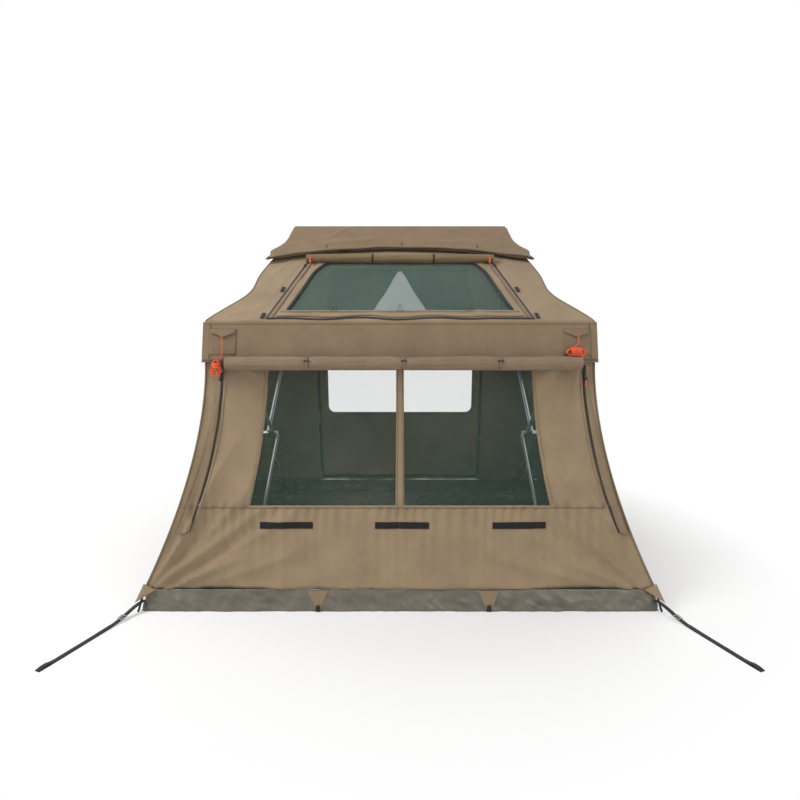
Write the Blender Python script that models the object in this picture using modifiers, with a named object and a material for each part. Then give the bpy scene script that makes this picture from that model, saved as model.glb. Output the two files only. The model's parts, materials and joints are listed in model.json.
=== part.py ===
"""Quick-pitch touring tent: canvas walls on a bathtub floor, a hipped roof with a fly, and a folding
frame of four knee legs that meet in a hub at each side. Metres, +Z up, origin on the ground at the
middle of the floor, the big window facing -Y."""

import math

import bmesh
import bpy
from mathutils import Matrix, Vector

# Overall sizes of the pitched tent
FLOOR_HALF_WIDTH = 1.30
FLOOR_HALF_DEPTH = 1.05
TUB_HEIGHT = 0.108
TUB_LEAN = 0.02
TUB_CORNER = 0.03
EAVE_HALF_WIDTH = 0.965
EAVE_HALF_DEPTH = 0.90
EAVE_HEIGHT = 1.435
RIDGE_HALF_LENGTH = 0.65
RIDGE_HEIGHT = 2.02
HIP_SAG = 0.05
FLARE_POWER = 1.7
FLARE_TOP_BELOW_EAVE = 0.195
ROW_HEIGHT = 0.15

# Cloth, and the clearances between pieces
FABRIC = 0.003
NET = 0.002
SEAM_GAP = 0.0005
NET_GAP = 0.0009
RUNNING_GAP = 0.001

# Openings in the walls and roof
WINDOW_SILL = 0.52
WINDOW_HEAD = 1.197
WINDOW_SHARE = 0.68
STRIP_SHARE = 0.02
NET_OVERLAP = 0.02
SIDE_WINDOW_SILL = 0.75
SIDE_WINDOW_SHARE = 0.50
DOOR_HALF_WIDTH = 0.65
DOOR_SILL = 0.14
DOOR_GAP = 0.004
STRAIGHT_HALF_WIDTH = 0.70
DOOR_WINDOW_HALF_WIDTH = 0.576
DOOR_WINDOW_SILL = 0.696
DOOR_WINDOW_HEAD = 1.15
SKYLIGHT_LOW = 0.10
SKYLIGHT_HIGH = 0.58
SKYLIGHT_SHARE = 0.62

# Eave band, fly and rolled covers
BAND_HEIGHT = 0.195
BAND_FLARE = 0.03
FLY_CORNER = 0.54
FLY_ARCH = 0.13
FLY_LIFT_RIDGE = 0.0045
FLY_LIFT_HEM = 0.025
FLY_ASIDE = 0.007
WINDOW_ROLL_RADIUS = 0.034
WINDOW_ROLL_HALF_LENGTH = 0.867
WINDOW_ROLL_ASIDE = 0.018
WINDOW_ROLL_BELOW_EAVE = 0.197
SKYLIGHT_ROLL_RADIUS = 0.0255
SKYLIGHT_ROLL_HALF_LENGTH = 0.53
SKYLIGHT_ROLL_AT = 0.57
ROLL_FLAT = 0.965

# Frame tubes and their joints
BAR_RADIUS = 0.0125
ARM_RADIUS = 0.011
CORNER_BLOCK = 0.040
RIDGE_BLOCK = 0.036
BAR_FROM_EAVE = 0.04
RAFTER_FOOT = 0.78
RAFTER_PAST_BAR = 0.018
FOOT_PIVOT_HEIGHT = 0.06
EAVE_PIVOT_DROP = 0.067
FRONT_LOWER_PLANE = 0.800
ARM_PITCH = 0.032
HUB_PITCH = 0.036
KNUCKLE_RADIUS = 0.016
KNUCKLE_WIDTH = 0.014
PIVOT_RADIUS = 0.005
PIVOT_BORE = 0.006
CHEEK = 0.004
SLOT_TRAVEL = 0.040
BRACKET_HALF_WIDTH = 0.014
LUG_COLLAR_LENGTH = 0.024
SLEEVE_WALL = 0.004
BOLT_HEAD_RADIUS = 0.0095
BOLT_HEAD = 0.005
BUTTON_RADIUS = 0.0055
BUTTON_LENGTH = 0.014
BUTTON_RECESS = 0.004
BUTTON_TRAVEL = 0.0025
FOOT_PLATE = (0.044, 0.090, 0.004)

# Zip sliders of the skylight cover
SLIDER_SIZE = (0.012, 0.024, 0.007)
SLIDER_SHARE = 0.715
SLIDER_TOP = 0.53

# Peg tabs on the front of the tub: middle, width at the top and at the point
PEG_TABS = {"left": -0.41, "right": 0.445}
PEG_TAB_TOP_WIDTH = 0.110
PEG_TAB_FOOT_WIDTH = 0.028
PEG_TAB_TOP = 0.102
PEG_TAB_FOOT = 0.012

# Guy ropes and ground straps
ROPE_RADIUS = 0.002
ROPE_TURNS = 6
ROPE_PITCH = 0.0052
STRAP_HALF_WIDTH = 0.0125
STRAP_THICKNESS = 0.002
ROPES = {
    "left": {"side": -1, "drop": (0.872, 1.372), "hank": (0.898, 1.212), "half": (0.032, 0.040)},
    "right": {"side": 1, "drop": (0.872, 1.380), "hank": (0.858, 1.291), "half": (0.048, 0.017)},
}
STRAP_ROUTE = [(1.2816, -1.0316, 0.050), (1.300, -1.053, 0.045), (1.323, -1.090, 0.031), (1.347, -1.140, 0.014),
               (1.371, -1.200, 0.004), (1.404, -1.285, 0.0010), (1.440, -1.385, 0.0008), (1.474, -1.480, 0.0008),
               (1.507, -1.567, 0.0008)]

SLOPE = (RIDGE_HEIGHT - EAVE_HEIGHT) / EAVE_HALF_DEPTH
SLOPE_COS = math.cos(math.atan(SLOPE))
SLOPE_SIN = math.sin(math.atan(SLOPE))
WALL_TOP = EAVE_HEIGHT - 0.03
WALL_FOOT = TUB_HEIGHT + FABRIC / 2
INSIDE = Vector((0.0, 0.0, 0.8))

# The eave bars lie under the rafters, and the rafters lie under the roof cloth
RAFTER_DEPTH = (FABRIC + SEAM_GAP + ARM_RADIUS) / SLOPE_COS
BAR_Y = EAVE_HALF_DEPTH - BAR_FROM_EAVE
BAR_Z = (EAVE_HEIGHT + SLOPE * (EAVE_HALF_DEPTH - BAR_Y) - RAFTER_DEPTH
         - (ARM_RADIUS + BAR_RADIUS + SEAM_GAP) / SLOPE_COS)
EAVE_PIVOT_Z = BAR_Z - EAVE_PIVOT_DROP
KNEE_Z = (FOOT_PIVOT_HEIGHT + EAVE_PIVOT_Z) / 2
CORNER_X = EAVE_HALF_WIDTH - FABRIC - RUNNING_GAP - CORNER_BLOCK / 2
RIDGE_JOINT_Z = (RIDGE_HEIGHT - SLOPE * RIDGE_BLOCK / 2 - (FABRIC + SEAM_GAP) / SLOPE_COS - RIDGE_BLOCK / 2)
RIDGE_JOINT_X = RIDGE_HALF_LENGTH - 0.004 - RIDGE_BLOCK / 2

COLOURS = {
    "canvas": ((0.33, 0.25, 0.16), 0.85, 0.0),
    "net": ((0.05, 0.09, 0.07), 0.7, 0.0),
    "vinyl": ((0.20, 0.21, 0.17), 0.45, 0.0),
    "aluminium": ((0.70, 0.71, 0.72), 0.35, 1.0),
    "nylon": ((0.02, 0.02, 0.02), 0.5, 0.0),
    "steel": ((0.60, 0.60, 0.60), 0.3, 1.0),
    "rope": ((0.85, 0.16, 0.05), 0.7, 0.0),
    "webbing": ((0.02, 0.02, 0.02), 0.8, 0.0),
}


def clear_scene():
    for obj in list(bpy.data.objects):
        bpy.data.objects.remove(obj, do_unlink=True)


def new_collection(name):
    made = bpy.data.collections.new(name)
    bpy.context.scene.collection.children.link(made)
    return made


def material(name):
    made = bpy.data.materials.get(name)
    if made is None:
        made = bpy.data.materials.new(name)
        made.use_nodes = True
        colour, roughness, metallic = COLOURS[name]
        shader = made.node_tree.nodes["Principled BSDF"]
        shader.inputs["Base Color"].default_value = (*colour, 1.0)
        shader.inputs["Roughness"].default_value = roughness
        shader.inputs["Metallic"].default_value = metallic
    return made


def finish(name, bm, finish_name, origin=(0, 0, 0), collection=None, smooth=False):
    """Makes an object of a bmesh that is in world coordinates, with its origin where it is asked for."""
    mesh = bpy.data.meshes.new(name)
    bmesh.ops.translate(bm, verts=bm.verts, vec=-Vector(origin))
    bm.to_mesh(mesh)
    bm.free()
    obj = bpy.data.objects.new(name, mesh)
    obj.location = origin
    mesh.materials.append(material(finish_name))
    if smooth:
        mesh.shade_smooth()
        mesh.set_sharp_from_angle(angle=math.radians(35))
    (collection or TENT).objects.link(obj)
    return obj


def helper(name, bm, origin=(0, 0, 0)):
    """A cutter or a piece to be joined on, which isn't part of the object by itself."""
    obj = finish(name, bm, "nylon", origin, CUTTERS)
    obj.hide_render = True
    obj.display_type = "WIRE"
    return obj


def boolean(obj, other, operation):
    made = obj.modifiers.new(operation.lower(), "BOOLEAN")
    made.operation = operation
    made.object = other


def cylinder(bm, start, end, radius, sides=16):
    """Adds a closed cylinder between two points."""
    start, end = Vector(start), Vector(end)
    along = end - start
    turn = along.to_track_quat("Z", "Y").to_matrix().to_4x4()
    bmesh.ops.create_cone(bm, cap_ends=True, segments=sides, radius1=radius, radius2=radius,
                          depth=along.length, matrix=Matrix.Translation((start + end) / 2) @ turn)


def box(bm, centre, size):
    place = Matrix.Translation(centre) @ Matrix.Diagonal((*size, 1.0))
    bmesh.ops.create_cube(bm, size=1.0, matrix=place)


def face_out(bm):
    """Turns every face of a sheet away from the middle of the tent."""
    bm.normal_update()
    for face in bm.faces:
        if face.normal.dot(face.calc_center_median() - INSIDE) < 0:
            face.normal_flip()


def grid(bm, us, vs, surface, hole=None):
    """Adds a sheet whose rows and columns lie at the values given, less the cells inside the hole."""
    columns, rows = len(us) - 1, len(vs) - 1
    made = bmesh.ops.create_grid(bm, x_segments=columns, y_segments=rows, size=1.0)["verts"]
    place = {}
    for vert in made:
        i = round((vert.co.x + 1) / 2 * columns)
        j = round((vert.co.y + 1) / 2 * rows)
        place[vert] = (us[i], vs[j])
    faces = {face for vert in made for face in vert.link_faces}
    for vert, (u, v) in place.items():
        vert.co = surface(u, v)
    if hole:
        inside = []
        for face in faces:
            u = sum(place[vert][0] for vert in face.verts) / len(face.verts)
            v = sum(place[vert][1] for vert in face.verts) / len(face.verts)
            if hole(u, v):
                inside.append(face)
        bmesh.ops.delete(bm, geom=inside, context="FACES")


def sheet(name, bm, finish_name, thickness=FABRIC, origin=(0, 0, 0)):
    """Gives a sheet its thickness, inwards from the outer face that was drawn."""
    bmesh.ops.remove_doubles(bm, verts=bm.verts, dist=1e-5)
    bmesh.ops.dissolve_degenerate(bm, edges=bm.edges, dist=1e-5)
    face_out(bm)
    obj = finish(name, bm, finish_name, origin)
    solid = obj.modifiers.new("thickness", "SOLIDIFY")
    solid.thickness = thickness
    solid.offset = -1.0
    solid.use_even_offset = True
    return obj


def spread(low, high, cells):
    return [low + (high - low) * i / cells for i in range(cells + 1)]


def flare(z):
    """How far the cloth stands out at this height: 1 at the tub's rim, 0 near the eave, on a hollow curve."""
    top = EAVE_HEIGHT - FLARE_TOP_BELOW_EAVE
    up = min(1.0, max(0.0, (z - TUB_HEIGHT) / (top - TUB_HEIGHT)))
    return (1.0 - up) ** FLARE_POWER


def half_width(z):
    return EAVE_HALF_WIDTH + (FLOOR_HALF_WIDTH - TUB_LEAN - EAVE_HALF_WIDTH) * flare(z)


def half_depth(z):
    return EAVE_HALF_DEPTH + (FLOOR_HALF_DEPTH - TUB_LEAN - EAVE_HALF_DEPTH) * flare(z)


def hip_x(s):
    """Half the roof's width at the share s of the way from eave to ridge, drawn in by the cloth's sag."""
    return (EAVE_HALF_WIDTH + (RIDGE_HALF_LENGTH - EAVE_HALF_WIDTH) * s - HIP_SAG * math.sin(math.pi * s))


def roof_y(s):
    return EAVE_HALF_DEPTH * (1 - s)


def roof_z(s):
    return EAVE_HEIGHT + (RIDGE_HEIGHT - EAVE_HEIGHT) * s


def floor_tub():
    bm = bmesh.new()
    box(bm, (0, 0, TUB_HEIGHT / 2), (2 * FLOOR_HALF_WIDTH, 2 * FLOOR_HALF_DEPTH, TUB_HEIGHT))
    top = [face for face in bm.faces if face.normal.z > 0.5]
    bmesh.ops.delete(bm, geom=top, context="FACES_ONLY")
    for vert in bm.verts:
        if vert.co.z > TUB_HEIGHT / 2:
            vert.co.x -= math.copysign(TUB_LEAN, vert.co.x)
            vert.co.y -= math.copysign(TUB_LEAN, vert.co.y)
    upright = [edge for edge in bm.edges if abs(edge.verts[0].co.z - edge.verts[1].co.z) > TUB_HEIGHT / 2]
    bmesh.ops.bevel(bm, geom=upright, offset=TUB_CORNER, offset_type="OFFSET", segments=3, profile=0.5,
                    affect="EDGES", material=-1)
    obj = finish("floor_tub", bm, "vinyl")
    solid = obj.modifiers.new("thickness", "SOLIDIFY")
    solid.thickness = FABRIC
    solid.offset = -1.0
    solid.use_even_offset = True


def wall_rows(*levels):
    """Heights from the tub's rim to the wall's top that take in these levels."""
    ends = sorted({WALL_FOOT, *levels, WALL_TOP})
    rows = []
    for low, high in zip(ends, ends[1:]):
        rows += spread(low, high, max(1, round((high - low) / ROW_HEIGHT)))[:-1]
    return rows + [ends[-1]]


def front_wall():
    bm = bmesh.new()
    us = [-1, -0.84, -WINDOW_SHARE, -0.35, -STRIP_SHARE, STRIP_SHARE, 0.35, WINDOW_SHARE, 0.84, 1]

    def hole(u, z):
        return STRIP_SHARE < abs(u) < WINDOW_SHARE and WINDOW_SILL < z < WINDOW_HEAD

    rows = wall_rows(WINDOW_SILL, WINDOW_HEAD)
    grid(bm, us, rows, lambda u, z: (u * half_width(z), -half_depth(z), z), hole)
    sheet("front_wall", bm, "canvas")


def front_window_net():
    bm = bmesh.new()
    edge = WINDOW_SHARE + NET_OVERLAP
    behind = FABRIC + NET_GAP
    zs = spread(WINDOW_SILL - NET_OVERLAP, WINDOW_HEAD + NET_OVERLAP, 4)
    grid(bm, spread(-edge, edge, 4), zs, lambda u, z: (u * half_width(z), behind - half_depth(z), z))
    sheet("front_window_net", bm, "net", NET)


def side_wall(name, side):
    bm = bmesh.new()
    vs = [-1, -0.8, -SIDE_WINDOW_SHARE, 0, SIDE_WINDOW_SHARE, 0.8, 1]
    short = 2 * FABRIC

    def place(v, z):
        return (side * half_width(z), v * (half_depth(z) - short), z)

    def hole(v, z):
        return abs(v) < SIDE_WINDOW_SHARE and SIDE_WINDOW_SILL < z < WINDOW_HEAD

    grid(bm, vs, wall_rows(SIDE_WINDOW_SILL, WINDOW_HEAD), place, hole)
    sheet(f"{name}_side_wall", bm, "canvas")


def side_window_net(name, side):
    bm = bmesh.new()
    edge = SIDE_WINDOW_SHARE + NET_OVERLAP
    behind = FABRIC + 3 * SEAM_GAP
    zs = spread(SIDE_WINDOW_SILL - NET_OVERLAP, WINDOW_HEAD + NET_OVERLAP, 3)
    grid(bm, spread(-edge, edge, 2), zs, lambda v, z: (side * (half_width(z) - behind), v * half_depth(z), z))
    sheet(f"{name}_window_net", bm, "net", NET)


def back_point(x, z):
    """A point of the back wall: straight across the door, and out to the flared corner beyond it."""
    if abs(x) > STRAIGHT_HALF_WIDTH:
        share = (abs(x) - STRAIGHT_HALF_WIDTH) / (EAVE_HALF_WIDTH - STRAIGHT_HALF_WIDTH)
        x = math.copysign(STRAIGHT_HALF_WIDTH + share * (half_width(z) - STRAIGHT_HALF_WIDTH), x)
    return (x, half_depth(z), z)


def back_wall():
    bm = bmesh.new()
    inner = DOOR_HALF_WIDTH
    beyond = spread(STRAIGHT_HALF_WIDTH, EAVE_HALF_WIDTH, 2)
    xs = [-x for x in reversed(beyond)] + [-inner, 0, inner] + beyond
    rows = wall_rows(DOOR_SILL, WINDOW_HEAD)
    grid(bm, xs, rows, back_point, lambda x, z: abs(x) < inner and DOOR_SILL < z < WINDOW_HEAD)
    sheet("back_wall", bm, "canvas")


def back_door():
    bm = bmesh.new()
    edge = DOOR_HALF_WIDTH - DOOR_GAP
    pane = DOOR_WINDOW_HALF_WIDTH
    xs = [-edge, -pane, 0, pane, edge]
    low, high = DOOR_SILL + DOOR_GAP, WINDOW_HEAD - SEAM_GAP
    zs = spread(low, DOOR_WINDOW_SILL, 4)[:-1] + spread(DOOR_WINDOW_SILL, DOOR_WINDOW_HEAD, 3) + [high]

    def hole(x, z):
        return abs(x) < pane and DOOR_WINDOW_SILL < z < DOOR_WINDOW_HEAD

    grid(bm, xs, zs, back_point, hole)
    sheet("back_door", bm, "canvas", origin=(0, half_depth(WINDOW_HEAD), WINDOW_HEAD))


def back_door_net():
    bm = bmesh.new()
    edge = DOOR_WINDOW_HALF_WIDTH + NET_OVERLAP
    behind = FABRIC + NET_GAP
    zs = spread(DOOR_WINDOW_SILL - NET_OVERLAP, DOOR_WINDOW_HEAD + NET_OVERLAP, 3)
    grid(bm, spread(-edge, edge, 2), zs, lambda x, z: (x, half_depth(z) - behind, z))
    sheet("back_door_net", bm, "net", NET, origin=(0, half_depth(WINDOW_HEAD), WINDOW_HEAD))


def peg_tab(name, x):
    """A tapered loop tab on the front of the tub, for the peg."""
    bm = bmesh.new()

    def place(u, z):
        share = (z - PEG_TAB_FOOT) / (PEG_TAB_TOP - PEG_TAB_FOOT)
        half = (PEG_TAB_FOOT_WIDTH + (PEG_TAB_TOP_WIDTH - PEG_TAB_FOOT_WIDTH) * share) / 2
        tub_face = FLOOR_HALF_DEPTH - TUB_LEAN * z / TUB_HEIGHT
        return (x + u * half, -(tub_face + 2 * SEAM_GAP + FABRIC), z)

    grid(bm, [-1, 1], [PEG_TAB_FOOT, PEG_TAB_TOP], place)
    sheet(f"{name}_peg_tab", bm, "canvas")


def roof_canopy():
    bm = bmesh.new()
    us = [-1, -SKYLIGHT_SHARE, 0, SKYLIGHT_SHARE, 1]
    steps = [0, SKYLIGHT_LOW, 0.26, 0.42, SKYLIGHT_HIGH, 0.8, 1]
    vs = [-1, 0, 1]

    def hole(u, s):
        return abs(u) < SKYLIGHT_SHARE and SKYLIGHT_LOW < s < SKYLIGHT_HIGH

    for side in (-1, 1):
        grid(bm, us, steps, lambda u, s, k=side: (u * hip_x(s), k * roof_y(s), roof_z(s)), hole)
        grid(bm, vs, steps, lambda v, s, k=side: (k * hip_x(s), v * roof_y(s), roof_z(s)))
    sheet("roof_canopy", bm, "canvas")


def skylight_net(name, side):
    bm = bmesh.new()
    edge = SKYLIGHT_SHARE + NET_OVERLAP
    below = (FABRIC + SEAM_GAP) / SLOPE_COS
    steps = spread(SKYLIGHT_LOW - NET_OVERLAP, SKYLIGHT_HIGH + NET_OVERLAP, 3)
    grid(bm, spread(-edge, edge, 2), steps,
         lambda u, s: (u * hip_x(s), side * roof_y(s), roof_z(s) - below))
    sheet(f"{name}_skylight_net", bm, "net", NET)


def fly_lift(s):
    return FLY_LIFT_RIDGE + FLY_LIFT_HEM * (1 - s) / (1 - FLY_CORNER)


def roof_fly():
    """The cover over the ridge. Its hem is cut in an arch on each side and stands off the roof."""
    bm = bmesh.new()

    def share(across, up):
        hem = FLY_CORNER + FLY_ARCH * (1 - across * across)
        return hem + (1 - hem) * up

    ups = [0, 0.3, 0.65, 1]
    for side in (-1, 1):

        def long_side(u, up, k=side):
            s = share(u, up)
            return (u * (hip_x(s) + FLY_ASIDE), k * roof_y(s), roof_z(s) + fly_lift(s))

        def short_side(v, up, k=side):
            s = share(v, up)
            return (k * (hip_x(s) + FLY_ASIDE), v * roof_y(s), roof_z(s) + fly_lift(s))

        grid(bm, spread(-1, 1, 8), ups, long_side)
        grid(bm, spread(-1, 1, 4), ups, short_side)
    sheet("roof_fly", bm, "canvas")


def band_flare(z):
    """How far the eave band stands out at this height. It hangs free at its hem."""
    return BAND_FLARE * (EAVE_HEIGHT - z) / BAND_HEIGHT


def eave_band():
    bm = bmesh.new()
    out = FABRIC + SEAM_GAP
    zs = spread(EAVE_HEIGHT - BAND_HEIGHT, EAVE_HEIGHT, 2)

    def half(z):
        return (EAVE_HALF_WIDTH + out + band_flare(z), EAVE_HALF_DEPTH + out + band_flare(z))

    for side in (-1, 1):
        grid(bm, spread(-1, 1, 4), zs, lambda u, z, k=side: (u * half(z)[0], k * half(z)[1], z))
        grid(bm, spread(-1, 1, 2), zs, lambda v, z, k=side: (k * half(z)[0], v * half(z)[1], z))
    sheet("eave_band", bm, "canvas")


def wire(name, points, radius, finish_name, resolution=2, origin=(0, 0, 0), radii=None):
    """A round tube along a list of points, with filled ends."""
    curve = bpy.data.curves.new(name, "CURVE")
    curve.dimensions = "3D"
    curve.bevel_depth = radius
    curve.bevel_resolution = resolution
    curve.use_fill_caps = True
    spline = curve.splines.new("POLY")
    spline.points.add(len(points) - 1)
    for i, (point, co) in enumerate(zip(spline.points, points)):
        point.co = (*(Vector(co) - Vector(origin)), 1.0)
        point.radius = radii[i] if radii else 1.0
    obj = bpy.data.objects.new(name, curve)
    obj.location = origin
    curve.materials.append(material(finish_name))
    TENT.objects.link(obj)
    return obj


def window_roll():
    """The front window's cover, rolled up and tied against the eave band's hem: three ties pinch it."""
    z = EAVE_HEIGHT - WINDOW_ROLL_BELOW_EAVE
    y = -(EAVE_HALF_DEPTH + FABRIC + BAND_FLARE + SEAM_GAP + WINDOW_ROLL_RADIUS)
    ends = [(-1, 0.72), (-0.9, 0.95), (-0.58, 1.0), (-0.54, 0.86), (-0.5, 1.0), (-0.25, 0.97), (-0.04, 1.0),
            (0, 0.86), (0.04, 1.0), (0.25, 0.97), (0.5, 1.0), (0.54, 0.86), (0.58, 1.0), (0.9, 0.95), (1, 0.72)]
    points = [(WINDOW_ROLL_ASIDE + share * WINDOW_ROLL_HALF_LENGTH, y, z) for share, _ in ends]
    wire("window_cover_roll", points, WINDOW_ROLL_RADIUS, "canvas", 4, radii=[r for _, r in ends])


def skylight_roll():
    radius = SKYLIGHT_ROLL_RADIUS
    seat = SKYLIGHT_ROLL_RADIUS * ROLL_FLAT + SEAM_GAP
    y = -roof_y(SKYLIGHT_ROLL_AT) - seat * SLOPE_SIN
    z = roof_z(SKYLIGHT_ROLL_AT) + seat * SLOPE_COS
    ends = [(-1, 0.7), (-0.92, 0.95), (-0.5, 1.0), (0, 0.96), (0.5, 1.0), (0.92, 0.95), (1, 0.7)]
    points = [(share * SKYLIGHT_ROLL_HALF_LENGTH, y, z) for share, _ in ends]
    wire("skylight_cover_roll", points, radius, "canvas", 4, radii=[r for _, r in ends])


def eave_frame():
    """Four eave bars between four corner blocks. The front and back bars carry the legs' lugs."""
    clear = CORNER_BLOCK / 2 + SEAM_GAP
    for name, end in (("front", -1), ("back", 1)):
        bm = bmesh.new()
        cylinder(bm, (-(CORNER_X - clear), end * BAR_Y, BAR_Z), (CORNER_X - clear, end * BAR_Y, BAR_Z), BAR_RADIUS)
        bar = finish(f"{name}_eave_bar", bm, "aluminium", smooth=True)
        for side_name, side in (("left", -1), ("right", 1)):
            eave_lug(bar, f"{name}_{side_name}_lug", side, end)
    for name, side in (("left", -1), ("right", 1)):
        bm = bmesh.new()
        x = side * CORNER_X
        cylinder(bm, (x, -(BAR_Y - clear), BAR_Z), (x, BAR_Y - clear, BAR_Z), BAR_RADIUS)
        finish(f"{name}_eave_bar", bm, "aluminium", smooth=True)
        for end_name, end in (("front", -1), ("back", 1)):
            bm = bmesh.new()
            box(bm, (x, end * BAR_Y, BAR_Z), (CORNER_BLOCK, CORNER_BLOCK, CORNER_BLOCK * 0.75))
            bmesh.ops.bevel(bm, geom=bm.edges[:], offset=0.004, offset_type="OFFSET", segments=1, profile=0.5,
                            affect="EDGES", material=-1)
            finish(f"{end_name}_{name}_corner_block", bm, "nylon")


def rafter_point(x, depth_y, side):
    return (x, side * depth_y, EAVE_HEIGHT + SLOPE * (EAVE_HALF_DEPTH - depth_y) - RAFTER_DEPTH)


def ridge_frame():
    """The ridge bar, its two end blocks and the four rafters that carry it."""
    reach = RIDGE_JOINT_X - RIDGE_BLOCK / 2 - SEAM_GAP
    bm = bmesh.new()
    cylinder(bm, (-reach, 0, RIDGE_JOINT_Z), (reach, 0, RIDGE_JOINT_Z), BAR_RADIUS)
    finish("ridge_bar", bm, "aluminium", smooth=True)
    rafter_top = RIDGE_BLOCK / 2 + ARM_RADIUS * SLOPE_SIN + SEAM_GAP
    for name, side in (("left", -1), ("right", 1)):
        bm = bmesh.new()
        box(bm, (side * RIDGE_JOINT_X, 0, RIDGE_JOINT_Z), (RIDGE_BLOCK, RIDGE_BLOCK, RIDGE_BLOCK))
        finish(f"{name}_ridge_block", bm, "nylon")
        for end_name, end in (("front", -1), ("back", 1)):
            bm = bmesh.new()
            low = rafter_point(side * RAFTER_FOOT, BAR_Y + RAFTER_PAST_BAR, end)
            high = rafter_point(side * RIDGE_JOINT_X, rafter_top, end)
            cylinder(bm, low, high, ARM_RADIUS, 12)
            finish(f"{end_name}_{name}_rafter", bm, "aluminium", smooth=True)


def leg_planes(end):
    """The X planes of a leg's lower arm, upper arm and, between them, its two knee knuckles, for +X.
    Front legs lie inside back legs, so that the arms pass each other as the frame comes down."""
    if end < 0:
        lower = FRONT_LOWER_PLANE
        upper = lower + ARM_PITCH
    else:
        upper = FRONT_LOWER_PLANE + ARM_PITCH + HUB_PITCH
        lower = upper + ARM_PITCH
    middle = (lower + upper) / 2
    towards = 1 if upper > lower else -1
    step = KNUCKLE_WIDTH / 2 + SEAM_GAP
    return lower, upper, middle - towards * step, middle + towards * step


def knuckles(bm, spots, width=KNUCKLE_WIDTH, radius=KNUCKLE_RADIUS):
    for x, y, z in spots:
        cylinder(bm, (x - width / 2, y, z), (x + width / 2, y, z), radius)


def arm(name, origin, ends, tube_x, knuckle_xs, bored):
    """A tube with a knuckle at each end. bored says which knuckles have a hole through them."""
    start, end = (Vector((tube_x, *point)) for point in ends)
    along = (end - start).normalized()
    inset = KNUCKLE_RADIUS * 0.75
    bm = bmesh.new()
    cylinder(bm, start + along * inset, end - along * inset, ARM_RADIUS, 12)
    obj = finish(name, bm, "aluminium", origin, smooth=True)
    bm = bmesh.new()
    knuckles(bm, [(x, *point) for x, point in zip(knuckle_xs, ends)])
    boolean(obj, helper(f"{name}_knuckles", bm, origin), "UNION")
    bm = bmesh.new()
    knuckles(bm, [(x, *point) for x, point, bore in zip(knuckle_xs, ends, bored) if bore], 0.05, PIVOT_BORE)
    boolean(obj, helper(f"{name}_bores", bm, origin), "DIFFERENCE")
    return obj


def turned_x(name, profile, centre, facing, finish_name):
    """A turned piece along X: the profile lists (radius, place along the axis) from its far end back."""
    mesh = bpy.data.meshes.new(name)
    bm = bmesh.new()
    verts = [bm.verts.new((radius, 0, along)) for radius, along in profile]
    for a, b in zip(verts, verts[1:]):
        bm.edges.new((a, b))
    bm.to_mesh(mesh)
    bm.free()
    obj = bpy.data.objects.new(name, mesh)
    mesh.materials.append(material(finish_name))
    TENT.objects.link(obj)
    obj.location = centre
    obj.rotation_euler = (0, facing * math.pi / 2, 0)
    screw = obj.modifiers.new("turn", "SCREW")
    screw.steps = 16
    screw.render_steps = 16
    screw.use_merge_vertices = True
    screw.merge_threshold = 0.0001
    return obj


def knee_bolt(name, side, end):
    """The bolt through a knee. A front leg's bolt has a recess in its inner head for the hub button."""
    lower, upper, knuckle_a, knuckle_b = leg_planes(end)
    inner = min(knuckle_a, knuckle_b) - KNUCKLE_WIDTH / 2 - SEAM_GAP
    outer = max(knuckle_a, knuckle_b) + KNUCKLE_WIDTH / 2 + SEAM_GAP
    recess = BUTTON_RECESS if end < 0 else 0.0
    head, shaft = BOLT_HEAD_RADIUS, PIVOT_RADIUS
    length = outer - inner
    # The profile runs from the outer head's face, down the outside, to the inner head's face
    profile = [(0, length + BOLT_HEAD), (head, length + BOLT_HEAD), (head, length), (shaft, length), (shaft, 0),
               (head, 0), (head, -BOLT_HEAD)]
    if recess:
        bore = BUTTON_RADIUS + RUNNING_GAP
        profile += [(bore, -BOLT_HEAD), (bore, recess - BOLT_HEAD), (0, recess - BOLT_HEAD)]
    else:
        profile += [(0, -BOLT_HEAD)]
    turned_x(name, profile, (side * inner, 0, KNEE_Z), side, "steel")
    return inner - BOLT_HEAD + recess


def hub_button(name, side, floor_x):
    """The release button in the hub's inner face. It seats on the bottom of the bolt's recess."""
    start = floor_x - SEAM_GAP - BUTTON_TRAVEL
    bm = bmesh.new()
    cylinder(bm, (side * (start - BUTTON_LENGTH), 0, KNEE_Z), (side * start, 0, KNEE_Z), BUTTON_RADIUS)
    finish(name, bm, "nylon", (side * start, 0, KNEE_Z), smooth=True)


def leg(side_name, side, end_name, end):
    """One knee leg: a lower arm on the foot's pivot and an upper arm on the knee."""
    lower, upper, knuckle_low, knuckle_up = leg_planes(end)
    foot = (end * BAR_Y, FOOT_PIVOT_HEIGHT)
    knee = (0.0, KNEE_Z)
    eave = (end * BAR_Y, EAVE_PIVOT_Z)
    name = f"{end_name}_{side_name}"
    arm(f"{name}_lower_arm", (side * lower, *foot), (foot, knee), side * lower,
        (side * lower, side * knuckle_low), (True, True))
    top = arm(f"{name}_upper_arm", (side * upper, *knee), (knee, eave), side * upper,
              (side * knuckle_up, side * upper), (True, False))
    bm = bmesh.new()
    plate_inner, _ = lug_span(upper)
    cylinder(bm, (side * upper, *eave), (side * (plate_inner - RUNNING_GAP), *eave), PIVOT_RADIUS)
    boolean(top, helper(f"{name}_eave_pin", bm, (side * upper, *knee)), "UNION")
    floor_x = knee_bolt(f"{name}_knee_bolt", side, end)
    if end < 0:
        hub_button(f"{side_name}_hub_button", side, floor_x)
    foot_bracket(f"{name}_foot", side, end, lower)


def lug_span(upper):
    """The inner and outer faces of the slotted plate beside an upper arm's top knuckle, for +X."""
    outer = upper - KNUCKLE_WIDTH / 2 - ARM_RADIUS / 2
    return outer - CHEEK, outer


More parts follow.
